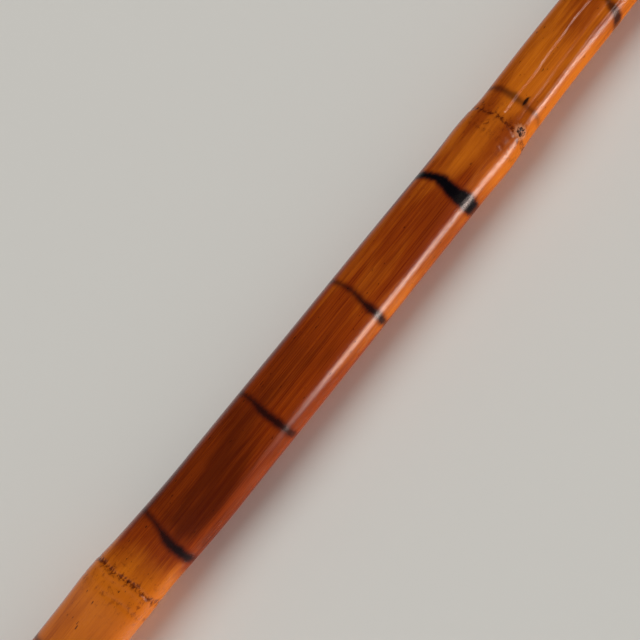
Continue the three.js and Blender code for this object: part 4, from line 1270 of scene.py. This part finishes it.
def build_keeper():
    """A narrow strap round both layers, whose ends meet under them."""
    wall, width, corner = 1.5, 4.5, 1.6
    room = 0.45 + wall / 2
    low, high = -STRAP_THICKNESS / 2 - room, TAIL_OUT + STRAP_THICKNESS / 2 + room
    half = STRAP_HALF + room
    loop = closed_rounded([
        (low, -half, corner), (high, -half, corner), (high, half, corner), (low, half, corner),
    ], 6)
    line = Line([(low, 0.03), *loop, (low, -0.03)])

    def bend(along, across, lift):
        spot = line.at(along, lift)
        return in_loop(side_point(spot[:, 0], KEEPER_PLACE + across), -spot[:, 1])

    outline = oblong(0, line.length, width, 0)
    keeper = sheet("strap_keeper_leather", [outline], wall, "strap_leather", bend, (0.8, 0), 0.4)
    stands_for(keeper, "keeper", "strap_keeper")


def build_bolt():
    for node, sign in (("strap_washer_left", -1), ("strap_washer_right", 1)):
        rim = extent(node)[1][0]
        near, far = sorted(np.abs(extent(node))[:, 1])
        turned(node, f"{node}_brass", "pole", "brass", [
            (BOLT_HOLE, near), (rim, near, 0.15), (rim, far, 0.2), (BOLT_HOLE, far),
        ], closed=True, turn=placed((0, sign, 0), BOLT))
    seat = far + 0.2
    girth, top = extent("strap_bolt")[1][:2]
    head = [(girth, seat, 0.2), (girth, seat + 0.8, 0.4), (4.4, top - 0.35, 2.5), (0, top)]
    turned("strap_bolt", "strap_bolt_domed", "pole", "brass", [
        (1.8, -seat + 0.4), (2.4, -seat + 0.4), (2.4, seat), *head, (0, 8), (1.8, 7),
    ], 96, closed=True, turn=placed((0, 1, 0), BOLT))
    screw = turned("strap_bolt_screw", "strap_bolt_slotted", "pole", "brass", [
        (0, -4), (1.4, -3), (1.4, seat), *head,
    ], 96, turn=placed((0, -1, 0), BOLT))
    slot_turn = Matrix.Rotation(math.radians(24), 4, "Y")
    carve(screw, "brass", (14, 2.2, 1.1), BOLT - OUTWARD * top, slot_turn)


def build_hidden():
    """The cork under the grip leather and the dowel in the cane keep the CAD shape."""
    for node, finish in (("grip_core", "cork"), ("lower_plug", "dowel")):
        materials = frame["nodes"][node].data.materials
        materials.clear()
        materials.append(FINISH[finish])


# ------------------------------------------------------------------ studio and camera; in metres


def from_pole(turn, distance, height):
    """A place around the pole; the turn is in degrees from -Y towards +X."""
    turn = math.radians(turn)
    return Vector((distance * math.sin(turn), -distance * math.cos(turn), height))


def aim(light, back):
    """Turns a light so that it shines away from the back direction, with its long side upright."""
    light.rotation_mode = "QUATERNION"
    light.rotation_quaternion = back.to_track_quat("Z", "Y")


def panel(name, place, target, size, power, colour=(1, 1, 1)):
    """A soft rectangular light that faces the target."""
    light = bpy.data.lights.new(name, "AREA")
    light.shape = "RECTANGLE"
    light.size, light.size_y = size
    light.energy, light.color = power, colour
    obj = show(name, light)
    obj.location = place
    aim(obj, Vector(place) - Vector(target))
    obj.visible_camera = False
    return obj


def sunlight(name, turn, rise, spread, strength):
    """A soft distant light; angles in degrees, the turn as in from_pole."""
    light = bpy.data.lights.new(name, "SUN")
    light.angle, light.energy = math.radians(spread), strength
    rise = math.radians(rise)
    obj = show(name, light)
    aim(obj, from_pole(turn, math.cos(rise), math.sin(rise)))
    return obj


def spare(light, *objs):
    """The light doesn't fall on these objects."""
    unlit = bpy.data.collections.new(f"unlit_by_{light.name}")
    for obj in objs:
        unlit.objects.link(obj)
    light.light_linking.receiver_collection = unlit
    for member in unlit.collection_objects:
        member.light_linking.link_state = "EXCLUDE"


def pale(name):
    paint = Paint(name)
    paint.set(Base_Color=(0.62, 0.61, 0.58), Roughness=0.9, Specular_IOR_Level=0.1)
    return paint


def near_only(paint, reach):
    """Shows the surface only to a camera nearer than the reach."""
    near = paint.math("LESS_THAN", paint.node("LightPath", out="Ray Length"), reach)
    seen = near * paint.node("LightPath", out="Is Camera Ray")
    solid = Value(paint, paint.shader.outputs[0])
    surface = paint.node("MixShader", {0: seen, 1: paint.node("BsdfTransparent"), 2: solid})
    paint.put(paint.tree.nodes["Material Output"].inputs["Surface"], surface)


def plain(name, size, turn, place, paint):
    """A flat square that isn't part of the object."""
    mesh = bpy.data.meshes.new(name)
    half = size / 2
    corners = [(-half, -half, 0), (half, -half, 0), (half, half, 0), (-half, half, 0)]
    mesh.from_pydata(corners, [], [(0, 1, 2, 3)])
    mesh.materials.append(paint.material)
    obj = show(name, mesh)
    obj.matrix_world = Matrix.Translation(place) @ turn
    return obj


def build_world():
    """Pale all round; mirror-like pieces see a dark front, a paler back and a bright ceiling."""
    world = bpy.data.worlds.new("studio")
    world.use_nodes = True
    bpy.context.scene.world = world
    sky = Nodes(world.node_tree)
    way = sky.node("TexCoord", out="Generated")
    x, y, z = (sky.node("SeparateXYZ", {0: way}, out=axis) for axis in "XYZ")
    wall = sky.ramp(y, 0.5, 0.95, 0.01, 0.5) * sky.ramp(x, -0.4, 0.3, 0.2, 1.0)
    mirrored = sky.math("MAXIMUM", wall, sky.ramp(z, 0.15, 0.6, 0.0, 0.9))
    soft = sky.ramp(sky.node("LightPath", out="Is Camera Ray"), 0.0, 1.0, 0.26, 0.44)
    strength = sky.node("Mix", {0: sky.node("LightPath", out="Is Glossy Ray"), 2: soft, 3: mirrored})
    background = world.node_tree.nodes["Background"]
    sky.put(background.inputs["Color"], (1, 0.985, 0.96))
    sky.put(background.inputs["Strength"], strength)


def build_studio(camera_place, cane):
    floor = plain("floor", 200, Matrix(), (0, 0, -0.0005), pale("pale_floor"))
    floor.visible_glossy = False
    card_paint = pale("pale_card")
    near_only(card_paint, 0.7)
    upright = Matrix.Rotation(math.pi / 2, 4, "X")
    card = plain("card", 1.0, upright, (0, 0.0125, camera_place[2]), card_paint)
    for way in ("diffuse", "glossy", "transmission", "shadow", "volume_scatter"):
        setattr(card, f"visible_{way}", False)
    build_world()

    key = sunlight("key", 33, 38, 26, 2.5)
    middle = (0, 0, 0.7)
    window = panel("window", from_pole(-80, 1.0, 0.33), (0, 0, 0.33), (0.13, 0.72), 6.0, (1, 0.8, 0.72))
    wall = panel("window_wall", from_pole(-112, 1.0, 0.6), (0, 0, 0.6), (1.0, 1.5), 0.4, (1, 0.8, 0.7))
    rim = panel("window_low", from_pole(-46, 0.5, 0.22), (0, 0, 0.6), (0.025, 0.36), 0.8, (1, 0.85, 0.7))
    side = panel("side_fill", from_pole(-115, 1.6, 0.8), middle, (0.6, 1.2), 42)
    back = panel("back_fill", from_pole(150, 1.8, 1.2), middle, (0.8, 1.2), 10)
    for light in (window, wall, rim, side, back):
        spare(light, card, floor)
    for light in (key, side, back):
        light.visible_glossy = False
    front = panel("front_softbox", from_pole(-35, 2.0, 1.0), middle, (1.4, 1.8), 20)
    right = panel("right_softbox", from_pole(65, 2.0, 1.0), middle, (1.2, 1.8), 12)
    for light in (front, right):
        spare(light, card, floor, cane)

    # The red that the lacquer throws on the surface it lies near.
    beside, card_foot = (-0.0105, 0.006, 0.75), (-0.022, 0.0125, 0.75)
    glow = panel("lacquer_glow", beside, card_foot, (0.006, 0.9), 0.004, (1, 0.08, 0.02))
    spare(glow, *(obj for obj in bpy.context.scene.objects if obj.type == "MESH" and obj is not card))


def build_camera():
    camera = show("camera", bpy.data.cameras.new("camera"))
    bpy.context.scene.camera = camera
    camera.data.sensor_width = 36
    camera.data.angle = math.radians(38.3)
    camera.data.clip_start = 0.01
    place, target = Vector((0.0051, -0.2624, 0.7723)), Vector((0.0051, 0, 0.7354))
    back = (place - target).normalized()
    tipwards = Vector((0, 0, -1)) + back * back.z
    tipwards.normalize()
    lean = math.radians(51.1)  # of the pole in the picture, from level
    right = tipwards * math.cos(lean) + tipwards.cross(back) * math.sin(lean)
    turn = Matrix((right, back.cross(right), back)).transposed().to_4x4()
    camera.matrix_world = Matrix.Translation(place) @ turn
    return place


lacquered = build_cane()
build_tip()
build_hub()
build_hoop()
build_splice()
build_spokes()
build_grip_leather()
build_collar()
build_knob()
build_billet()
build_buckle_piece()
build_buckle()
build_prong()
build_keeper()
build_bolt()
build_hidden()
build_studio(build_camera(), lacquered)
bpy.context.scene.view_settings.view_transform = "Standard"
